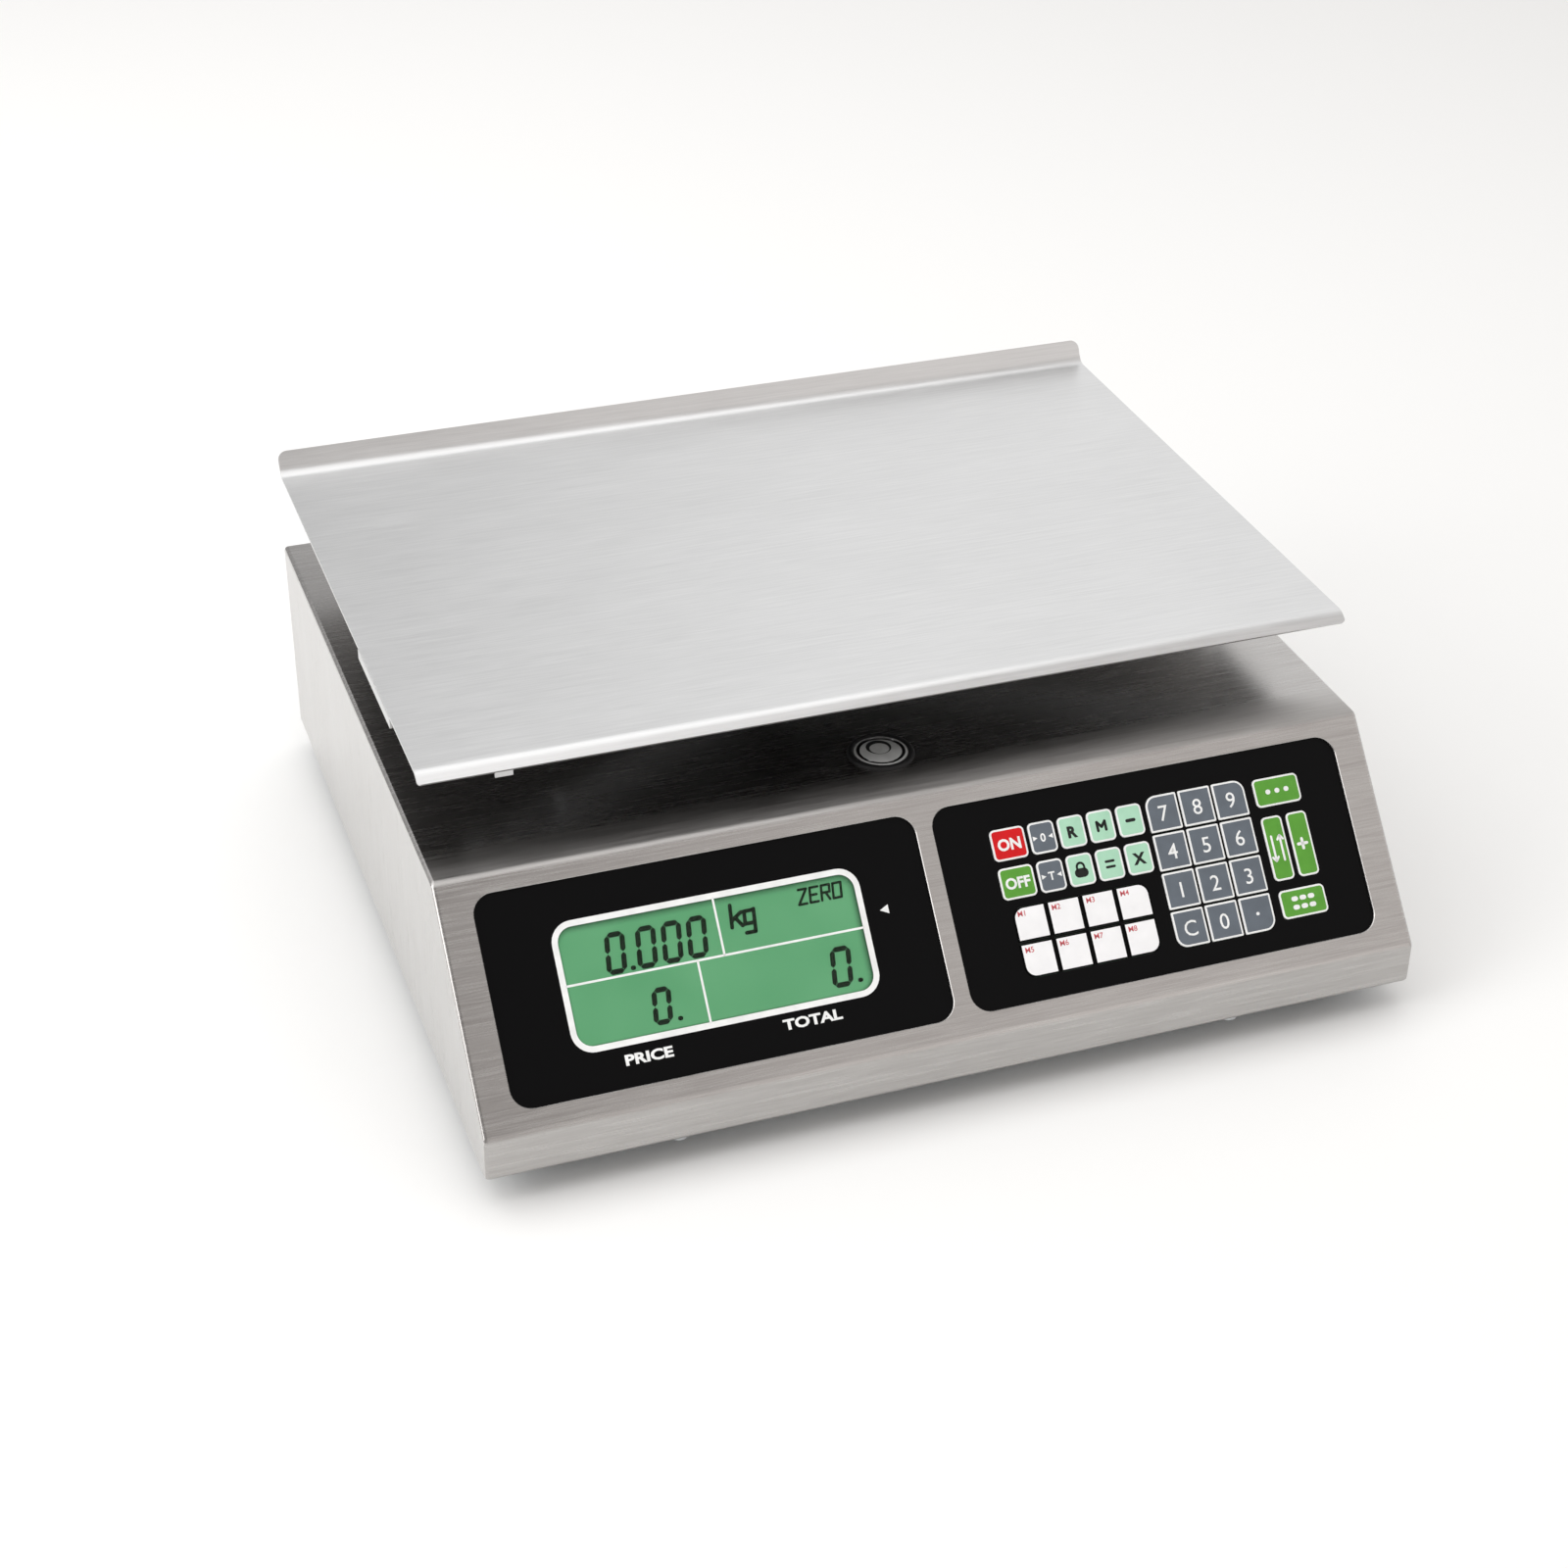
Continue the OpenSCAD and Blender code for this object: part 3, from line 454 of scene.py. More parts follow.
def round_outline(w, h, radii, inset=0.0, steps=6):
    """Rectangle with its own radius at each corner, drawn counterclockwise in its plane.
    radii go top left, top right, bottom right, bottom left."""
    points = []
    for sx, sy, r, start in ((-1, -1, radii[3], 180), (1, -1, radii[2], 270), (1, 1, radii[1], 0),
                             (-1, 1, radii[0], 90)):
        r = max(r - inset, 0.05 * MM)
        mid = Vector((sx * (w / 2 - inset - r), sy * (h / 2 - inset - r)))
        for i in range(steps + 1):
            a = math.radians(start + 90 * i / steps)
            points.append(mid + r * Vector((math.cos(a), math.sin(a))))
    return points


def circle(r, steps, mid=(0, 0)):
    return [Vector((mid[0] + r * math.cos(math.tau * i / steps), mid[1] + r * math.sin(math.tau * i / steps)))
            for i in range(steps)]


def stack(bm, rings, slots=None, cap_slots=(0, 0)):
    """Closed solid through rings of (outline, height), from the lowest to the highest.
    slots give each band between two rings its material."""
    loops = [[bm.verts.new((p[0], p[1], z)) for p in outline] for outline, z in rings]
    n = len(loops[0])
    for band, (low, high) in enumerate(zip(loops, loops[1:])):
        for i in range(n):
            face = bm.faces.new((low[i], low[(i + 1) % n], high[(i + 1) % n], high[i]))
            face.material_index = slots[band] if slots else 0
    bottom = bm.faces.new(list(reversed(loops[0])))
    bottom.material_index = cap_slots[0]
    top = bm.faces.new(loops[-1])
    top.material_index = cap_slots[1]
    return loops


def prism(bm, outline, low, high, slot=0):
    stack(bm, [(outline, low), (outline, high)], [slot], (slot, slot))


def ring_prism(bm, outer, inner, low, high):
    """Flat closed ring between two outlines of as many points."""
    rows = [[bm.verts.new((p[0], p[1], z)) for p in line]
            for line, z in ((outer, low), (outer, high), (inner, high), (inner, low))]
    n = len(outer)
    for a, b in zip(rows, rows[1:] + rows[:1]):
        for i in range(n):
            bm.faces.new((a[i], a[(i + 1) % n], b[(i + 1) % n], b[i]))


def counterclockwise(points):
    area = sum(a[0] * b[1] - b[0] * a[1] for a, b in zip(points, points[1:] + points[:1]))
    return points if area > 0 else list(reversed(points))


def lettering(bm, text, height, at, low, high, slot=0, *, bold, stretch=1.0):
    """Generic characters as thin closed solids, centred at a point, with capitals of that height."""
    curve = bpy.data.curves.new("mark", "FONT")
    curve.body = text
    curve.size = height / 0.73     # the built-in face's capitals are 0.73 of its size
    curve.offset = bold
    curve.resolution_u = 3
    curve.extrude = (high - low) / 2
    helper = bpy.data.objects.new("mark", curve)
    bpy.context.scene.collection.objects.link(helper)
    mesh = bpy.data.meshes.new_from_object(helper.evaluated_get(bpy.context.evaluated_depsgraph_get()))
    xs = [v.co.x for v in mesh.vertices]
    middle = Vector(((min(xs) + max(xs)) / 2, height / 2, 0))
    mesh.transform(Matrix.Translation((at[0], at[1], (low + high) / 2)) @ Matrix.Diagonal((stretch, 1, 1, 1))
                   @ Matrix.Translation(-middle))
    before = len(bm.faces)
    bm.from_mesh(mesh)
    bm.faces.ensure_lookup_table()
    for face in bm.faces[before:]:
        face.material_index = slot
    bpy.data.objects.remove(helper)
    bpy.data.curves.remove(curve)
    bpy.data.meshes.remove(mesh)


def pen_line(bm, points, width, low, high, slot=0, at=(0, 0), size=(1, 1), lean=0.0):
    """Line of round-ended strokes through points given as parts of a box of that size."""
    path = [Vector((at[0] + x * size[0] + lean * y * size[1], at[1] + y * size[1])) for x, y in points]
    for a, b in zip(path, path[1:]):
        turn = math.atan2(b.y - a.y, b.x - a.x)
        ends = [(end, turn + side * math.pi / 2 + math.pi * i / 6)
                for end, side in ((b, -1), (a, 1)) for i in range(7)]
        outline = [end + width / 2 * Vector((math.cos(angle), math.sin(angle))) for end, angle in ends]
        prism(bm, outline, low, high, slot)


def revolve(bm, profile, steps):
    """Closed solid of revolution about Z: profile runs from the axis below to the axis above."""
    stack(bm, [(circle(max(r, 0.01 * MM), steps), z) for r, z in profile])


def small_box(bm, centre, size, ease=0.2 * MM):
    """Block with eased edges."""
    made = bmesh.ops.create_cube(bm, size=1, matrix=Matrix.Translation(centre) @ Matrix.Diagonal((*size, 1)))
    edges = {e for v in made["verts"] for e in v.link_edges}
    bmesh.ops.bevel(bm, geom=list(edges), offset=ease, segments=2, profile=0.5, affect="EDGES")


def evaluated_copy(piece, name):
    """Mesh of a piece with its modifiers, as a new piece; the old one is removed."""
    graph = bpy.context.evaluated_depsgraph_get()
    graph.update()
    mesh = bpy.data.meshes.new_from_object(piece.evaluated_get(graph), preserve_all_data_layers=True,
                                           depsgraph=graph)
    bpy.data.objects.remove(piece)
    made = bpy.data.objects.new(name, mesh)
    mesh.name = name
    bpy.context.scene.collection.objects.link(made)
    return made


def cut(piece, cutters, name):
    """Cuts closed solids out of a piece."""
    for cutter in cutters:
        modifier = piece.modifiers.new("cut", "BOOLEAN")
        modifier.operation = "DIFFERENCE"
        modifier.solver = "EXACT"
        modifier.object = cutter
    made = evaluated_copy(piece, name)
    for cutter in cutters:
        bpy.data.objects.remove(cutter)
    return made


def settle_shading(piece, name, angle_deg=32):
    """Flat faces stay flat and folds stay round: normals are weighted by face size."""
    piece.data.shade_smooth()
    piece.data.set_sharp_from_angle(angle=math.radians(angle_deg))
    modifier = piece.modifiers.new("normals", "WEIGHTED_NORMAL")
    modifier.keep_sharp = True
    modifier.weight = 100
    return evaluated_copy(piece, name)


# ---------------------------------------------------------------- places taken from the frame

def slope_axes():
    """Directions across, up and out of the sloped front, from the way the keys are pressed."""
    press = next(j["axis"] for j in frame["joints"] if j["name"] == "key_on_press")
    out = -Vector(press).normalized()
    across = Vector((1, 0, 0))
    return across, out.cross(across), out


ACROSS, UP, OUT = slope_axes()


def frame_matrix(centre, across, up, out):
    rotation = Matrix((across, up, out)).transposed().to_4x4()
    return Matrix.Translation(centre) @ rotation


def slope_slab(node):
    """Middle, width, height and thickness of a slab that lies on the slope."""
    low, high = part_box(node)
    size = high - low
    s, c = -OUT.y, OUT.z
    height = (size.z * s - size.y * c) / (s * s - c * c)
    thick = (size.y * s - size.z * c) / (s * s - c * c)
    return (low + high) / 2, size.x, height, thick


def slope_place(node, above=0.0):
    """Matrix that puts a shape drawn flat on the node's outer face, or that far above it."""
    centre, _, _, thick = slope_slab(node)
    return frame_matrix(centre + OUT * (thick / 2 + above), ACROSS, UP, OUT)


def box_mid(node):
    low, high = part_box(node)
    return (low + high) / 2


def back_place(node, y):
    """Matrix that puts a shape drawn flat at the node's middle, facing back, at that y."""
    mid = box_mid(node)
    return frame_matrix(Vector((mid.x, y, mid.z)), Vector((-1, 0, 0)), Vector((0, 0, 1)), Vector((0, 1, 0)))


def rear_window():
    """Width and height of the opening in front of the buyer's display."""
    low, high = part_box("customer_display")
    return high.x - low.x - REAR_LAP, high.z - low.z - REAR_LAP


HOUSING_LOW, HOUSING_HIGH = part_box("housing_cover")
FRONT_POINT = slope_place("display_panel", SHEET).translation     # on the housing's sloped face
STEEPNESS = -OUT.y / OUT.z
LIP_TOP = FRONT_POINT.z + (HOUSING_LOW.y - FRONT_POINT.y) * STEEPNESS
RIDGE_Y = FRONT_POINT.y + (HOUSING_HIGH.z - FRONT_POINT.z) / STEEPNESS
soften_ridge(STEEL_X, RIDGE_Y, HOUSING_HIGH.z)


# ---------------------------------------------------------------- housing

def side_view(t):
    """Corners of the housing seen from its right side, kept in by t, as points in Y and Z."""
    lean = math.atan(STEEPNESS)
    lip = LIP_TOP - t * math.cos(lean) + t * (1 - math.sin(lean)) * STEEPNESS
    ridge = RIDGE_Y + t * math.sin(lean) - t * (1 - math.cos(lean)) / STEEPNESS
    return [(HOUSING_LOW.y + t, HOUSING_LOW.z + t), (HOUSING_HIGH.y - t, HOUSING_LOW.z + t),
            (HOUSING_HIGH.y - t, HOUSING_HIGH.z - t), (ridge, HOUSING_HIGH.z - t), (HOUSING_LOW.y + t, lip)]


def housing_block(name, t, radius):
    """Block with the housing's outline, kept in by t, with its folds rounded."""
    half = (HOUSING_HIGH.x - HOUSING_LOW.x) / 2 - t
    bm = bmesh.new()
    ends = [[bm.verts.new((x, y, z)) for y, z in side_view(t)] for x in (-half, half)]
    n = len(ends[0])
    bm.faces.new(ends[1])
    bm.faces.new(list(reversed(ends[0])))
    for i in range(n):
        bm.faces.new((ends[0][i], ends[0][(i + 1) % n], ends[1][(i + 1) % n], ends[1][i]))
    bmesh.ops.recalc_face_normals(bm, faces=bm.faces)
    bmesh.ops.bevel(bm, geom=list(bm.edges), offset=radius, segments=5, profile=0.5, affect="EDGES",
                    offset_type="OFFSET")
    return finish_mesh(name, bm)


def flared_cutter(name, place, outline):
    """Cutter for an opening in sheet: outline is a function of how far it is grown. Its mouth
    flares so that the sheet's cut edge is chamfered, as deburring leaves it."""
    bm = bmesh.new()
    over = 1 * MM
    stack(bm, [(outline(0), -2 * SHEET), (outline(0), -CUT_EDGE), (outline(CUT_EDGE + over), over)])
    bm.transform(place)
    return finish_mesh(name, bm)


def rounded_opening(w, h, r):
    return lambda grow: round_outline(w + 2 * grow, h + 2 * grow, [r + grow] * 4, steps=8)


def round_opening(d):
    return lambda grow: circle(d / 2 + grow, 64)


def make_housing():
    """Folded and welded cover: round folds, chamfered openings and a flange turned in below."""
    outer = housing_block("housing_outer", 0, FOLD_R)
    low, high = HOUSING_LOW, HOUSING_HIGH
    mouth = bmesh.new()
    prism(mouth, round_outline(high.x - low.x - 2 * FLANGE, high.y - low.y - 2 * FLANGE, [1 * MM] * 4),
          low.z - 1 * MM, low.z + 2 * SHEET)
    cutters = [housing_block("housing_inner", SHEET, FOLD_R - SHEET), finish_mesh("cut_mouth", mouth)]
    openings = []
    for node in ("display_panel", "keypad_panel"):
        _, w, h, _ = slope_slab(node)
        openings.append((slope_place(node, SHEET),
                         rounded_opening(w - 2 * PANEL_LAP, h - 2 * PANEL_LAP, PANEL_R)))
    for node, d in (("level_cup", LEVEL_HOLE), ("spider", POST_HOLE)):
        mid = box_mid(node)
        openings.append((Matrix.Translation((mid.x, mid.y, high.z)), round_opening(d)))
    openings.append((back_place("customer_display", high.y), rounded_opening(*rear_window(), REAR_R)))
    openings.append((back_place("power_inlet", high.y), round_opening(INLET_HOLE)))
    for place, outline in openings:
        cutters.append(flared_cutter("cut_opening", place, outline))
    shell = cut(outer, cutters, "housing_cut")
    # the grain runs along the front on every fold of the main sheet and down on the two sides; the sides' copy is
    # also lighter: painted light and shade on one sheet
    shell.data.materials.append(STEEL_X)
    shell.data.materials.append(STEEL_Z_PAINTED_LIGHTER)
    for face in shell.data.polygons:
        face.material_index = 1 if abs(face.normal.x) > 0.8 else 0
    hand_in(settle_shading(shell, "housing_skin"), "housing", "brushed_stainless", "housing_cover")


# ---------------------------------------------------------------- platter

def arc(mid, r, start_deg, end_deg, steps=10):
    return [Vector((mid[0] + r * math.cos(math.radians(a)), mid[1] + r * math.sin(math.radians(a))))
            for a in [start_deg + (end_deg - start_deg) * i / steps for i in range(steps + 1)]]


def make_platter():
    """Lift-off tray: one sheet folded down along its front and up along its back, with round
    lip corners, a guide tab under each side and a small stop tab under its front."""
    low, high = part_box("platter")
    half = (high.x - low.x) / 2
    lean = math.radians(BACK_FOLD_DEG)
    lip_rise = PLATTER_BEND_R * (1 - math.cos(lean)) + BACK_FOLD * math.sin(lean)
    top = high.z - lip_rise
    outer_r = PLATTER_BEND_R + SHEET
    bend_y = high.y - (outer_r * math.sin(lean) + BACK_FOLD * math.cos(lean))
    front_a = math.radians(90 + FRONT_FOLD_DEG)
    down = Vector((math.cos(front_a + math.pi / 2), math.sin(front_a + math.pi / 2)))
    fold_y = low.y - (outer_r * math.cos(front_a) + FRONT_FOLD * down.x)
    # the sheet's upper face seen from the side, from the front edge to the back lip
    front_arc = arc((fold_y, top - outer_r), outer_r, 90 + FRONT_FOLD_DEG, 90)
    front_end = front_arc[0] + FRONT_FOLD * down
    back_arc = arc((bend_y, top + PLATTER_BEND_R), PLATTER_BEND_R, -90, BACK_FOLD_DEG - 90)
    up_lip = Vector((math.cos(lean), math.sin(lean)))
    straight = back_arc[-1] + (BACK_FOLD - LIP_CORNER_R) * up_lip
    along = (front_arc[0] - front_end).normalized()
    # each row is a point of that outline and half the sheet's width there
    rows = [(front_end + along * FRONT_CORNER_R * (1 - math.cos(a)),
             half - FRONT_CORNER_R * (1 - math.sin(a))) for a in [math.pi / 12 * i for i in range(6)]]
    rows += [(p, half) for p in [front_end + along * FRONT_CORNER_R, *front_arc]]
    columns = 24
    rows += [(front_arc[-1].lerp(back_arc[0], i / columns), half) for i in range(1, columns)]
    rows += [(p, half) for p in [*back_arc, straight]]
    rows += [(straight + LIP_CORNER_R * math.sin(a) * up_lip, half - LIP_CORNER_R * (1 - math.cos(a)))
             for a in [math.pi / 16 * i for i in range(1, 9)]]
    bm = bmesh.new()
    grid = [[bm.verts.new((width * (2 * j / columns - 1), p[0], p[1])) for j in range(columns + 1)]
            for p, width in rows]
    for a, b in zip(grid, grid[1:]):
        for j in range(columns):
            bm.faces.new((a[j], a[j + 1], b[j + 1], b[j]))
    sheet = finish_mesh("platter_sheet_face", bm, [PLATTER_STEEL])
    thicken = sheet.modifiers.new("thickness", "SOLIDIFY")
    thicken.thickness = SHEET
    thicken.offset = -1
    thicken.use_even_offset = True
    ease = sheet.modifiers.new("eased_edges", "BEVEL")
    ease.width = 0.2 * MM
    ease.segments = 2
    ease.limit_method = "ANGLE"
    ease.angle_limit = math.radians(60)
    sheet = evaluated_copy(sheet, "platter_sheet_thick")
    bm = bmesh.new()
    bm.from_mesh(sheet.data)
    bm.normal_update()
    # faces that look down take the dark copy: painted shade under the platter
    for face in bm.faces:
        face.material_index = 1 if face.normal.z < -0.93 else 0
    bpy.data.objects.remove(sheet)
    for side in (-1, 1):
        small_box(bm, (side * (half - SHEET / 2), TAB_Y, top - TAB_DROP / 2 - SHEET / 4),
                  (SHEET, TAB_LEN, TAB_DROP - SHEET / 2))
    small_box(bm, (HOOK_IN[0] - half, fold_y + HOOK_IN[1], top - HOOK_DROP), HOOK_SIZE)
    piece = finish_mesh("platter_tray", bm, [PLATTER_STEEL, UNDERSIDE_SHADE_STEEL])
    hand_in(settle_shading(piece, "platter_sheet", 40), "platter", "brushed_stainless", "platter")


# ---------------------------------------------------------------- display

def segment_digit(bm, x, y, width, height, stroke, low, high, lean=0.12):
    """Seven-segment nought: width and height run between the middles of its strokes."""
    half = height / 2
    ends = (((0, height), (width, height)), ((width, height), (width, half)), ((width, half), (width, 0)),
            ((0, 0), (width, 0)), ((0, 0), (0, half)), ((0, half), (0, height)))
    for start, end in ends:
        a, b = Vector(start), Vector(end)
        along = (b - a).normalized()
        side = Vector((-along.y, along.x)) * stroke / 2
        # ends are mitred at the corners and nearly blunt half way up
        tip_a, tip_b = (along * stroke * (0.15 if p.y == half else 0.5) for p in (a, b))
        a, b = a + along * stroke * 0.04, b - along * stroke * 0.04
        points = [a, a + tip_a + side, b - tip_b + side, b, b - tip_b - side, a + tip_a - side]
        prism(bm, counterclockwise([Vector((x + p.x + lean * p.y, y + p.y)) for p in points]), low, high)


def lcd_glass(name, place, w, h, r, low, high, shade=2 * MM):
    """Display glass whose edge is darker, most along the top and the right, where the rim's
    shadow falls: a painted shadow in its glow."""
    bm = bmesh.new()
    light = bm.verts.layers.float.new("edge_light")
    # painted shadow: the inner rings are shifted down and to the left, so the dark band is widest along the top
    # and the right
    drift = Vector((-0.4, -0.5)) * shade
    rings = [(round_outline(w, h, [r] * 4), low, 0.15), (round_outline(w, h, [r] * 4), high, 0.15)]
    for part, level in ((0.5, 0.7), (1.0, 1.0)):
        inner = [p + drift * part for p in round_outline(w, h, [r] * 4, shade * part)]
        rings.append((inner, high + 0.001 * MM * part, level))
    loops = stack(bm, [(outline, z) for outline, z, _ in rings])
    for loop, (_, _, level) in zip(loops, rings):
        for vert in loop:
            vert[light] = level
    place_piece(name, bm, place, [LCD_GREEN], "lcd_glass")


def make_display():
    """Liquid-crystal glass with its segments, the clear pane over it and the printed white frame."""
    place = slope_place("display_window")
    _, w, h, thick = slope_slab("display_window")
    outline = rounded_opening(w, h, WINDOW_R)
    face_top = -thick + 0.12 * MM
    lcd_glass("lcd_face", place, w - 2 * FRAME_LINE + 0.4 * MM, h - 2 * FRAME_LINE + 0.4 * MM,
              WINDOW_R - FRAME_LINE + 0.2 * MM, -thick + 0.01 * MM, face_top)

    marks = bmesh.new()
    low, high = face_top, face_top + 0.05 * MM
    # lower left corner, width and height of each nought, then the decimal points
    for x, y, wide, tall in ((-41.1, 2.8, 5.9, 13.7), (-29.2, 2.8, 5.9, 13.7), (-19.3, 2.8, 5.9, 13.7),
                             (-9.5, 2.8, 5.9, 13.7), (-27.7, -18.8, 5.5, 11.9), (42.6, -18.6, 6.3, 13.4)):
        segment_digit(marks, x * MM, y * MM, wide * MM, tall * MM, SEGMENT, low, high)
    for x, y in ((-31.9, 3.0), (-18.4, -18.7), (52.8, -18.2)):
        pen_line(marks, [(-0.2, 0), (0.2, 0)], 1.7 * MM, low, high, at=(x * MM, y * MM), size=(MM, MM))
    # the unit kg, then the word ZERO
    thin, bold = 1.0 * MM, 1.5 * MM
    unit = (([(0, 0), (0, 1)], 8.2), ([(0.95, 0.62), (0, 0.28)], 8.2), ([(0.35, 0.42), (1, 0)], 8.2),
            ([(0.9, 0.62), (0, 0.62), (0, 0.05), (0.9, 0.05)], 13.4),
            ([(0.9, 0.66), (0.9, -0.36), (0.05, -0.36)], 13.4))
    for points, x in unit:
        pen_line(marks, points, bold, low, high, at=(x * MM, 10.5 * MM), size=(4.2 * MM, 8.3 * MM), lean=0.1)
    letters = {"Z": [[(0, 1), (1, 1), (0, 0), (1, 0)]],
               "E": [[(1, 1), (0, 1), (0, 0), (1, 0)], [(0, 0.5), (0.8, 0.5)]],
               "R": [[(0, 0), (0, 1), (1, 1), (1, 0.5), (0, 0.5)], [(0.5, 0.5), (1, 0)]],
               "O": [[(0, 0), (0, 1), (1, 1), (1, 0), (0, 0)]]}
    for i, letter in enumerate("ZERO"):
        corner = ((35.6 + 4.6 * i) * MM, 14.0 * MM)
        for points in letters[letter]:
            pen_line(marks, points, thin, low, high, at=corner, size=(3.2 * MM, 5.6 * MM), lean=0.12)
    place_piece("lcd_segments", marks, place, [LCD_INK], "lcd_glass")

    pane = bmesh.new()
    ease = 0.1 * MM
    stack(pane, [(outline(0), -thick + 0.4 * MM), (outline(0), -ease), (outline(-ease), 0)])
    place_piece("window_pane", pane, place, [ACRYLIC], "clear_window", "display_window", smooth_deg=40)

    prints = bmesh.new()
    print_top = 2 * INK
    ring_prism(prints, outline(0.3 * MM), outline(-FRAME_LINE), 0.0, print_top)
    edge_x, edge_y = w / 2 - FRAME_LINE, h / 2 - FRAME_LINE
    middle, upper, lower = 0.9 * MM, 2.9 * MM, -7.7 * MM
    for points in ([(-edge_x, middle), (edge_x, middle)], [(upper, middle), (upper, edge_y)],
                   [(lower, -edge_y), (lower, middle)]):
        pen_line(prints, points, DIVIDER, 0, print_top)
    for word, x, y in (("PRICE", -33.1, -29.8), ("TOTAL", 30.9, -29.0)):
        lettering(prints, word, 3.9 * MM, (x * MM, y * MM), 0, print_top, bold=0.2 * MM, stretch=1.35)
    prism(prints, arrow(67.7 * MM, 6 * MM, 3.5 * MM, -1), 0, print_top)
    place_piece("display_prints", prints, place, [WHITE_INK], "black_panel")


# ---------------------------------------------------------------- keys

def arrow(x, y, size, direction):
    """Small solid triangle that points along +X or -X."""
    half = size / 2
    tip, base = x + direction * half, x - direction * half
    return counterclockwise([Vector((tip, y)), Vector((base, y + half)), Vector((base, y - half))])


# word on a key, height of its capitals and how much bolder it is, in millimetres
WORDS = {"on": ("ON", 4.5, 0.22), "off": ("OFF", 4.3, 0.2), "recall": ("R", 4.4, 0.3),
         "multiply": ("X", 4.4, 0.3), "clear": ("C", 6.4, 0.02)}
DASH = [(-1, 0), (1, 0)]
SHACKLE = [(1, -1), *[(math.cos(math.pi * i / 8), math.sin(math.pi * i / 8)) for i in range(9)], (-1, -1)]
# pen strokes on a key in millimetres: points, width of the pen, place and size of the points' box
STROKES = {
    "memory": [([(0, 0), (0, 1), (0.5, 0.4), (1, 1), (1, 0)], 1.15, (-1.7, -1.7), (3.4, 3.4))],
    "minus": [(DASH, 1.35, (0, 0), (1.5, 1))],
    "total": [(DASH, 1.0, (0, y), (1.6, 1)) for y in (-1.1, 1.1)],
    "plus": [(points, 1.2, (0, 0), (1.9, 1.9)) for points in (DASH, [(0, -1), (0, 1)])],
    "point": [(DASH, 1.3, (0, 0), (0.1, 1))],
    "misc": [(DASH, 2.0, (x, 0), (0.1, 1)) for x in (-4, 0, 4)],
    "fix_price": [(DASH, 3.6, (0, -1.2), (1.1, 1)), (SHACKLE, 0.9, (0, 1.2), (1.5, 1.5))],
    "change": [(points, 0.9, (1.8 * side, 0), (1, side)) for side in (-1, 1)
               for points in ([(0, -5), (0, 5)], [(-1.2, 3.4), (0, 5), (1.2, 3.4)])],
    "count": [(DASH, 1.9, (x, y), (0.5, 1)) for x in (-3.6, 0, 3.6) for y in (-1.7, 1.7)],
}


def mark_key(bm, name, w, h, low):
    """Generic legend of a key: a digit, a letter or a plain sign."""
    high = low + INK
    sign = name[4:]
    if sign in WORDS or sign.isdigit():
        word, size, bold = WORDS.get(sign, (sign, 6.4, 0.02))
        lettering(bm, word, size * MM, (0, 0), low, high, 2, bold=bold * MM)
    elif sign[0] == "m" and sign[1:].isdigit():
        lettering(bm, sign.upper(), 2.2 * MM, (-w / 2 + 3.4 * MM, h / 2 - 2.5 * MM), low, high, 2,
                  bold=0.03 * MM)
    elif sign in ("zero", "tare"):
        lettering(bm, "0" if sign == "zero" else "T", 3.3 * MM, (0, 0), low, high, 2, bold=0.1 * MM)
        for side in (-1, 1):
            prism(bm, arrow(side * 3.2 * MM, 0, 1.9 * MM, -side), low, high, 2)
    for points, width, at, size in STROKES.get(sign, ()):
        pen_line(bm, points, width * MM, low, high, 2, Vector(at) * MM, Vector(size) * MM)


def key_corners(name):
    """Corner radii of a key: large only where it forms the corner of its block."""
    outer = {"key_7": 0, "key_9": 1, "key_point": 2, "key_clear": 3,
             "key_m1": 0, "key_m4": 1, "key_m8": 2, "key_m5": 3}
    sign = name[4:]
    if not (sign.isdigit() or sign in ("clear", "point") or (sign[0] == "m" and sign[1:].isdigit())):
        return [KEY_R] * 4
    radii = [BLOCK_INNER_R] * 4
    if name in outer:
        radii[outer[name]] = BLOCK_R
    return radii


def make_keys():
    """Embossed film caps: a white printed outline round a coloured field that swells a little,
    with its legend printed on top."""
    slots = {s["node"]: s["material_slot"] for s in frame["record"]["subparts"]}
    ease = 0.2 * MM
    swell = 0.08 * MM
    for name in sorted(n for n in frame["nodes"] if n.startswith("key_")):
        centre, w, h, thick = slope_slab(name)
        top = thick / 2
        white = slots[name] == "key_white"
        field = ease + (DARK_BORDER if white else KEY_BORDER)
        # inset and height of each ring, up to the outline's edge, then over the field
        edge = [(0, -top), (0, top - ease)]
        edge += [(ease * (1 - math.cos(a)), top - ease * (1 - math.sin(a)))
                 for a in [math.pi / 8 * i for i in range(1, 5)]]
        over = [(field, top), (field + 0.5 * MM, top + swell * 0.7), (field + 1.1 * MM, top + swell)]
        radii = key_corners(name)
        bm = bmesh.new()
        stack(bm, [(round_outline(w, h, radii, inset), z) for inset, z in edge + over],
              [0] * len(edge) + [1, 1], (0, 1))
        mark_key(bm, name, w, h, top + swell)
        legend = {"key_mint": BLACK_INK, "key_white": RED_INK}.get(slots[name], WHITE_INK)
        finishes = [BLACK_FILM if white else WHITE_INK, KEY_FILMS[slots[name]], legend]
        place_piece(name + "_cap", bm, frame_matrix(centre, ACROSS, UP, OUT), finishes, slots[name], name,
                    body=name, smooth_deg=30)


# ---------------------------------------------------------------- level, rear and feet

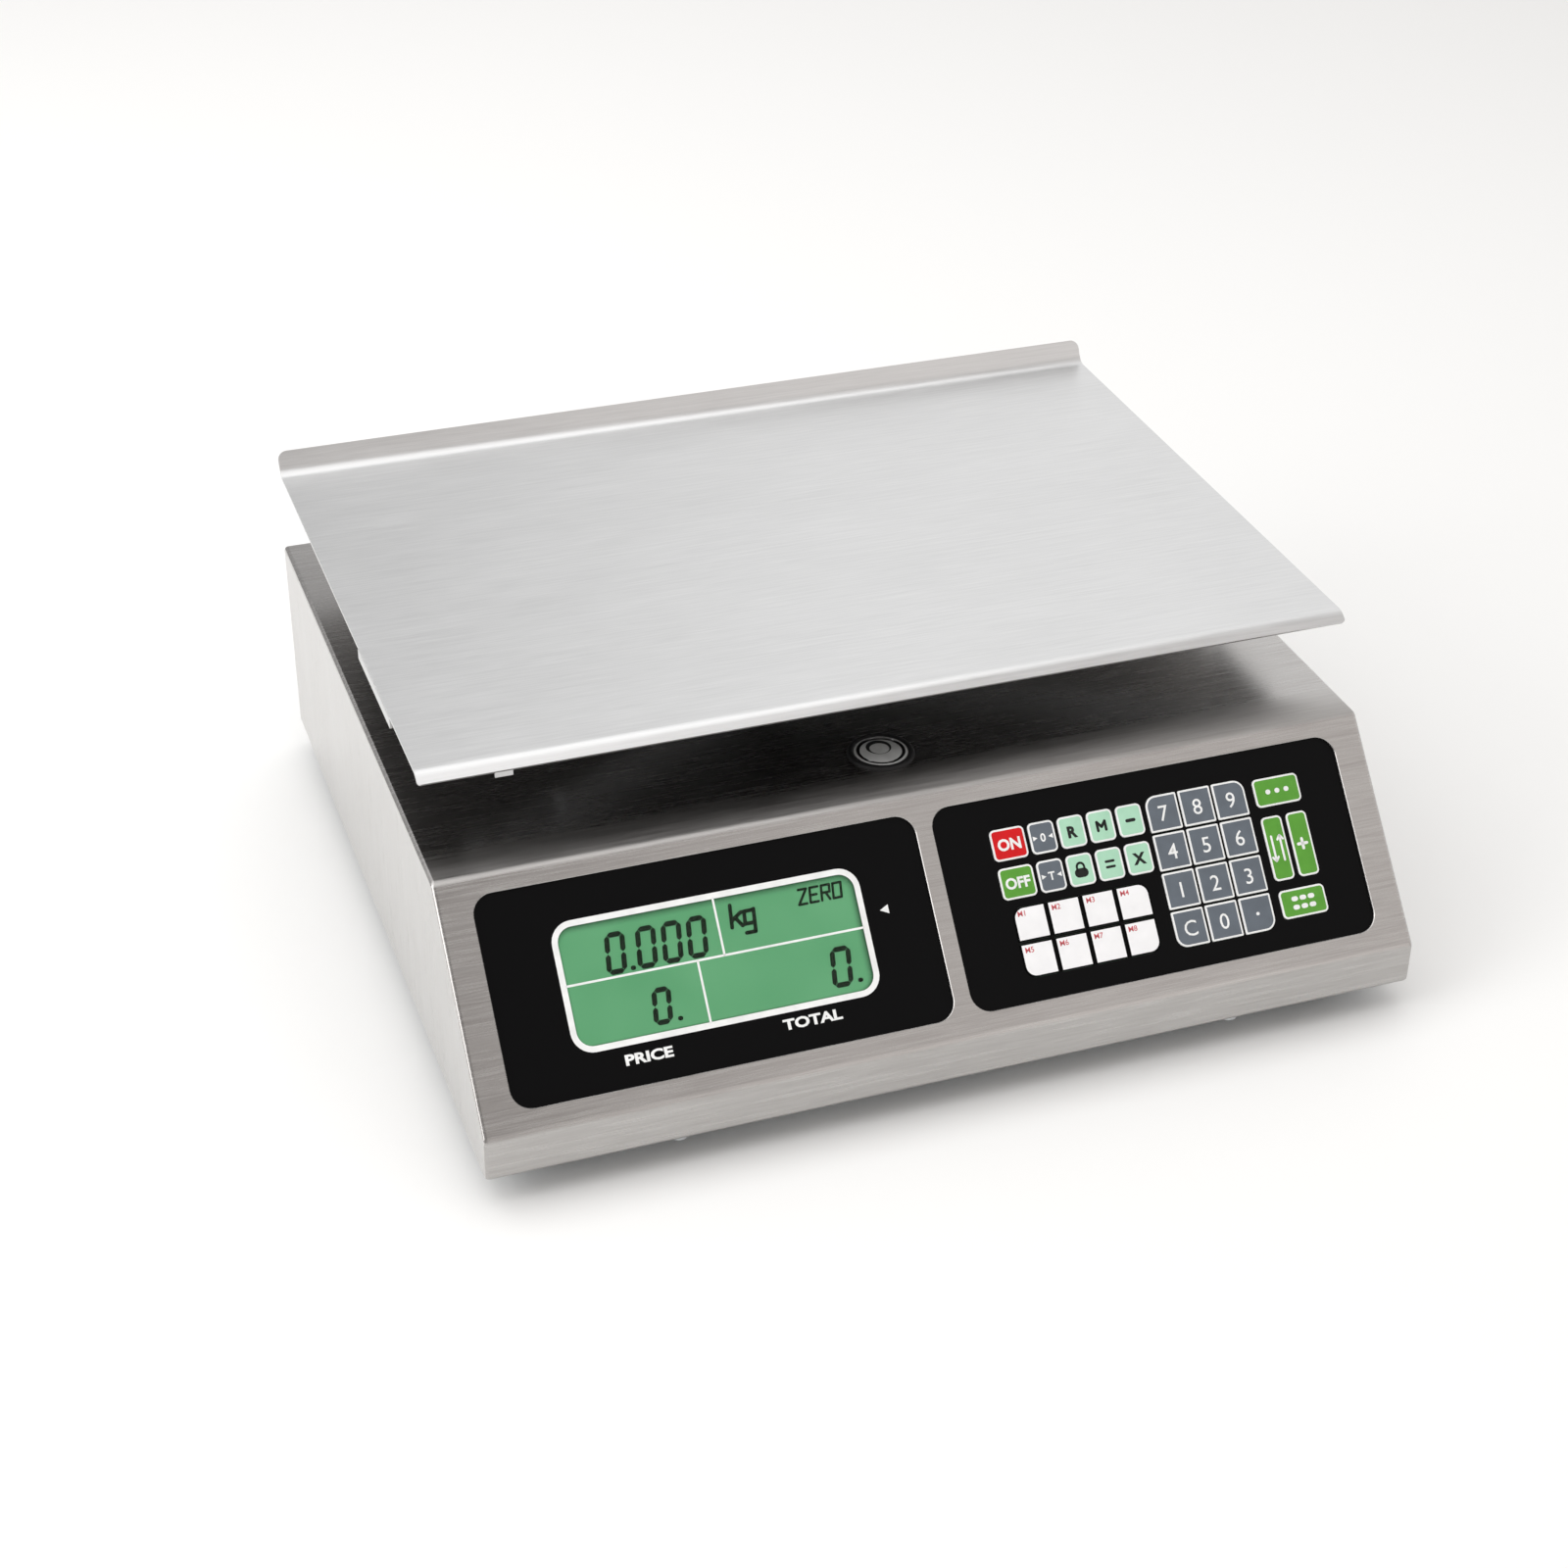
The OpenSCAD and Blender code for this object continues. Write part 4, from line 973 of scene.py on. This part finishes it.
def make_level():
    """Circular spirit level: dull black bezel, pale domed lens with a dark groove, and the bubble's edge as a
    painted shade crescent.
    """
    low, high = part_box("level_cup")
    mid = box_mid("level_cup")
    place = Matrix.Translation((mid.x, mid.y, HOUSING_HIGH.z))
    outer = (high.x - low.x) / 2
    lens_low, lens_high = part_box("level_lens")
    lens_r = (lens_high.x - lens_low.x) / 2
    inner = lens_r + 0.1 * MM
    stem_r = outer - 2.5 * MM
    cap = high.z - HOUSING_HIGH.z
    bottom = low.z - HOUSING_HIGH.z
    seat = 0.02 * MM           # height at which the bezel and the lens start above the sheet
    profile = [(stem_r - 0.2 * MM, bottom), (stem_r, bottom + 0.3 * MM), (stem_r, seat), (outer, seat)]
    profile += [(outer - cap * 0.9 * (1 - math.cos(a)), cap * math.sin(a))
                for a in [math.pi / 12 * i for i in range(1, 7)]]
    profile += [(inner + 0.5 * MM, cap), (inner, cap - 0.4 * MM), (inner, 0.0)]
    ring = bmesh.new()
    stack(ring, [(circle(r, 72), z) for r, z in profile])
    place_piece("level_bezel", ring, place, [DULL_BLACK], "black_moulding", "level_cup", smooth_deg=35)

    top = cap - 0.25 * MM
    groove = top - 0.6 * MM
    dome_r, dome_h = lens_r - 2.4 * MM, 0.2 * MM
    # radius, height and material of each band: pale outer ring, dark groove, pale domed disc
    profile = [(lens_r, seat, 0), (lens_r, top - 0.3 * MM, 0), (lens_r - 0.3 * MM, top - 0.1 * MM, 0),
               (lens_r - 1.0 * MM, top - 0.1 * MM, 1), (lens_r - 1.2 * MM, groove, 1),
               (lens_r - 2.2 * MM, groove, 1), (dome_r, top - dome_h, 0)]
    profile += [(dome_r * math.cos(a), top - dome_h + dome_h * math.sin(a), 0)
                for a in [math.pi / 16 * i for i in range(1, 8)]]
    lens = bmesh.new()
    stack(lens, [(circle(r, 72), z) for r, z, _ in profile], [slot for _, _, slot in profile])
    place_piece("level_lens_dome", lens, place, [LEVEL_LENS, LEVEL_RIM], "level_glass", "level_lens",
                smooth_deg=35)

    # the bubble's edge shows as a dark crescent, drawn in black ink: painted shade, thickest at the top
    marks = bmesh.new()
    ring_prism(marks, circle(5.0 * MM, 48, (0, 2.4 * MM)), circle(3.9 * MM, 48, (0, 1.5 * MM)),
               top - 0.3 * MM, top + 0.02 * MM)
    place_piece("level_ring_and_bubble", marks, place, [BLACK_INK], "level_glass")


def make_rear():
    """Buyer's display in the back: black film round a green glass with its segments."""
    place = back_place("customer_display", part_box("customer_display")[1].y)
    w, h = (side - 0.2 * MM for side in rear_window())
    face = 0.1 * MM
    film = bmesh.new()
    stack(film, [(round_outline(w, h, [REAR_R] * 4, inset), z)
                 for inset, z in ((0, -0.3 * MM), (0, 0.04 * MM), (0.08 * MM, face))])
    place_piece("rear_display_film", film, place, [BLACK_FILM], "black_panel")
    lcd_w, lcd_h, lcd_r = w - 26 * MM, h - 14 * MM, 3 * MM
    lcd_glass("rear_lcd_face", place, lcd_w, lcd_h, lcd_r, face, face + 0.04 * MM, 0.8 * MM)
    marks = bmesh.new()
    for x in (-38, -29, -20, -11, 34):
        segment_digit(marks, x * MM, -4 * MM, 4.2 * MM, 8 * MM, 1.1 * MM, face + 0.042 * MM, face + 0.07 * MM)
    place_piece("rear_lcd_segments", marks, place, [LCD_INK], "lcd_glass")
    frame_line = bmesh.new()
    outline = rounded_opening(lcd_w, lcd_h, lcd_r)
    ring_prism(frame_line, outline(1.2 * MM), outline(0), face, face + 0.05 * MM)
    place_piece("rear_display_frame", frame_line, place, [WHITE_INK], "black_panel")


def rib_ring_tree():
    """Geometry nodes: upright ribs set round a rim, each a small block."""
    tree = bpy.data.node_groups.new("rib_ring", "GeometryNodeTree")
    tree.interface.new_socket("Geometry", in_out="OUTPUT", socket_type="NodeSocketGeometry")
    for name, kind, value in (
            ("Rim Radius", "Float", 14 * MM), ("Rib Width", "Float", 1.4 * MM),
            ("Rib Depth", "Float", 1.2 * MM), ("Rib Height", "Float", 4 * MM), ("Rib Count", "Int", 24),
            ("Centre", "Vector", (0, 0, 0)), ("Material", "Material", None)):
        socket = tree.interface.new_socket(name, in_out="INPUT", socket_type="NodeSocket" + kind)
        socket.default_value = value
    given = add(tree, "NodeGroupInput").outputs
    rim = add(tree, "GeometryNodeMeshCircle", {"Vertices": given["Rib Count"], "Radius": given["Rim Radius"]})
    size = add(tree, "ShaderNodeCombineXYZ",
               {"X": given["Rib Depth"], "Y": given["Rib Width"], "Z": given["Rib Height"]})
    block = add(tree, "GeometryNodeMeshCube", {"Size": size.outputs[0]})
    position = add(tree, "GeometryNodeInputPosition")
    turn = add(tree, "FunctionNodeAlignRotationToVector", {"Vector": position.outputs[0]}, axis="X")
    ribs = add(tree, "GeometryNodeInstanceOnPoints", {
        "Points": rim.outputs["Mesh"], "Instance": block.outputs["Mesh"], "Rotation": turn.outputs[0]})
    placed = add(tree, "GeometryNodeTransform",
                 {"Geometry": ribs.outputs["Instances"], "Translation": given["Centre"]})
    real = add(tree, "GeometryNodeRealizeInstances", {"Geometry": placed.outputs[0]})
    painted = add(tree, "GeometryNodeSetMaterial",
                  {"Geometry": real.outputs[0], "Material": given["Material"]})
    add(tree, "NodeGroupOutput", {"Geometry": painted.outputs[0]})
    return tree


def grown(tree, name, **values):
    """Bakes a geometry tree into a plain mesh. Values are given by the inputs' names."""
    host = bpy.data.objects.new(name, bpy.data.meshes.new(name))
    bpy.context.scene.collection.objects.link(host)
    modifier = host.modifiers.new("grow", "NODES")
    modifier.node_group = tree
    for socket in tree.interface.items_tree:
        key = socket.name.lower().replace(" ", "_")
        if socket.item_type == "SOCKET" and socket.in_out == "INPUT" and key in values:
            modifier[socket.identifier] = values[key]
    return evaluated_copy(host, name)


def make_feet():
    """Levelling feet: a moulded rubber pad with a grip rim and tread rings, on a threaded stud."""
    tree = rib_ring_tree()
    quarter = [math.pi / 10 * i for i in range(6)]
    for name in ("foot_front_left", "foot_front_right", "foot_back_left", "foot_back_right"):
        low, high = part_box(name)
        mid = box_mid(name)
        r = (high.x - low.x) / 2
        place = Matrix.Translation((mid.x, mid.y, 0))
        tread = 0.5 * MM
        profile = [(r * part, z) for part, z in ((0.3, tread), (0.34, 0), (0.5, 0), (0.54, tread),
                                                 (0.66, tread), (0.7, 0))]
        rim = r - 0.6 * MM
        profile += [(rim - PAD_ROUND * (1 - math.sin(a)), PAD_ROUND * (1 - math.cos(a))) for a in quarter]
        profile += [(rim - PAD_ROUND * (1 - math.cos(a)), PAD_H - PAD_ROUND * (1 - math.sin(a)))
                    for a in quarter]
        pad = bmesh.new()
        revolve(pad, profile, 72)
        place_piece(name + "_pad", pad, place, [RUBBER], "rubber", name, body=name, smooth_deg=35)
        ribs = grown(tree, name + "_grip_ribs", rim_radius=rim - 0.1 * MM, rib_width=1.5 * MM,
                     rib_depth=1.3 * MM, rib_height=PAD_H - 3.4 * MM, rib_count=28,
                     centre=(mid.x, mid.y, PAD_H / 2), material=RUBBER)
        hand_in(ribs, name, "rubber")
        root = STUD_R - 0.45 * MM
        profile = [(STUD_R - 0.4 * MM, PAD_H)]
        z = PAD_H + 0.1 * MM
        while z + THREAD_PITCH < high.z:
            profile += [(root, z), (STUD_R, z + THREAD_PITCH * 0.42), (STUD_R, z + THREAD_PITCH * 0.58)]
            z += THREAD_PITCH
        profile += [(root, z), (STUD_R - 0.6 * MM, high.z)]
        stud = bmesh.new()
        revolve(stud, profile, 40)
        place_piece(name + "_stud", stud, place, [SCREW_STEEL], "steel_fasteners", body=name, smooth_deg=30)


def make_inlet_pin():
    """Centre pin of the power inlet, with a rounded tip."""
    place = back_place("power_inlet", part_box("power_inlet")[1].y)
    pin = bmesh.new()
    profile = ((1.05, -9.5), (1.05, -1.6), (0.9, -1.2), (0.5, -0.95))
    revolve(pin, [(r * MM, z * MM) for r, z in profile], 24)
    place_piece("power_inlet_pin", pin, place, [SCREW_STEEL], "steel_fasteners", smooth_deg=35)


# ---------------------------------------------------------------- CAD pieces that keep their shape

def paint_frame():
    """Gives each CAD node that stays its own finish."""
    finishes = (
        (BLACK_FILM, "display_panel keypad_panel"), (BOARD, "lcd_module keypad_board main_board"),
        (BATTERY_ABS, "battery"), (BLACK_ABS, "customer_display power_inlet"),
        (ZINC, "base_plate cell_mount cell_bracket"), (SCREW_STEEL, "cover_screws cell_screws spider_screws"),
        (CELL_ALU, "load_cell"), (CAST_ALU, "spider"), (RUBBER, "support_pads"))
    for finish, names in finishes:
        for name in names.split():
            mesh = frame["nodes"][name].data
            mesh.materials.clear()
            mesh.materials.append(finish)


set_camera()
set_studio()
make_housing()
make_platter()
make_display()
make_keys()
make_level()
make_rear()
make_feet()
make_inlet_pin()
paint_frame()

bpy.context.scene.view_settings.view_transform = "Standard"
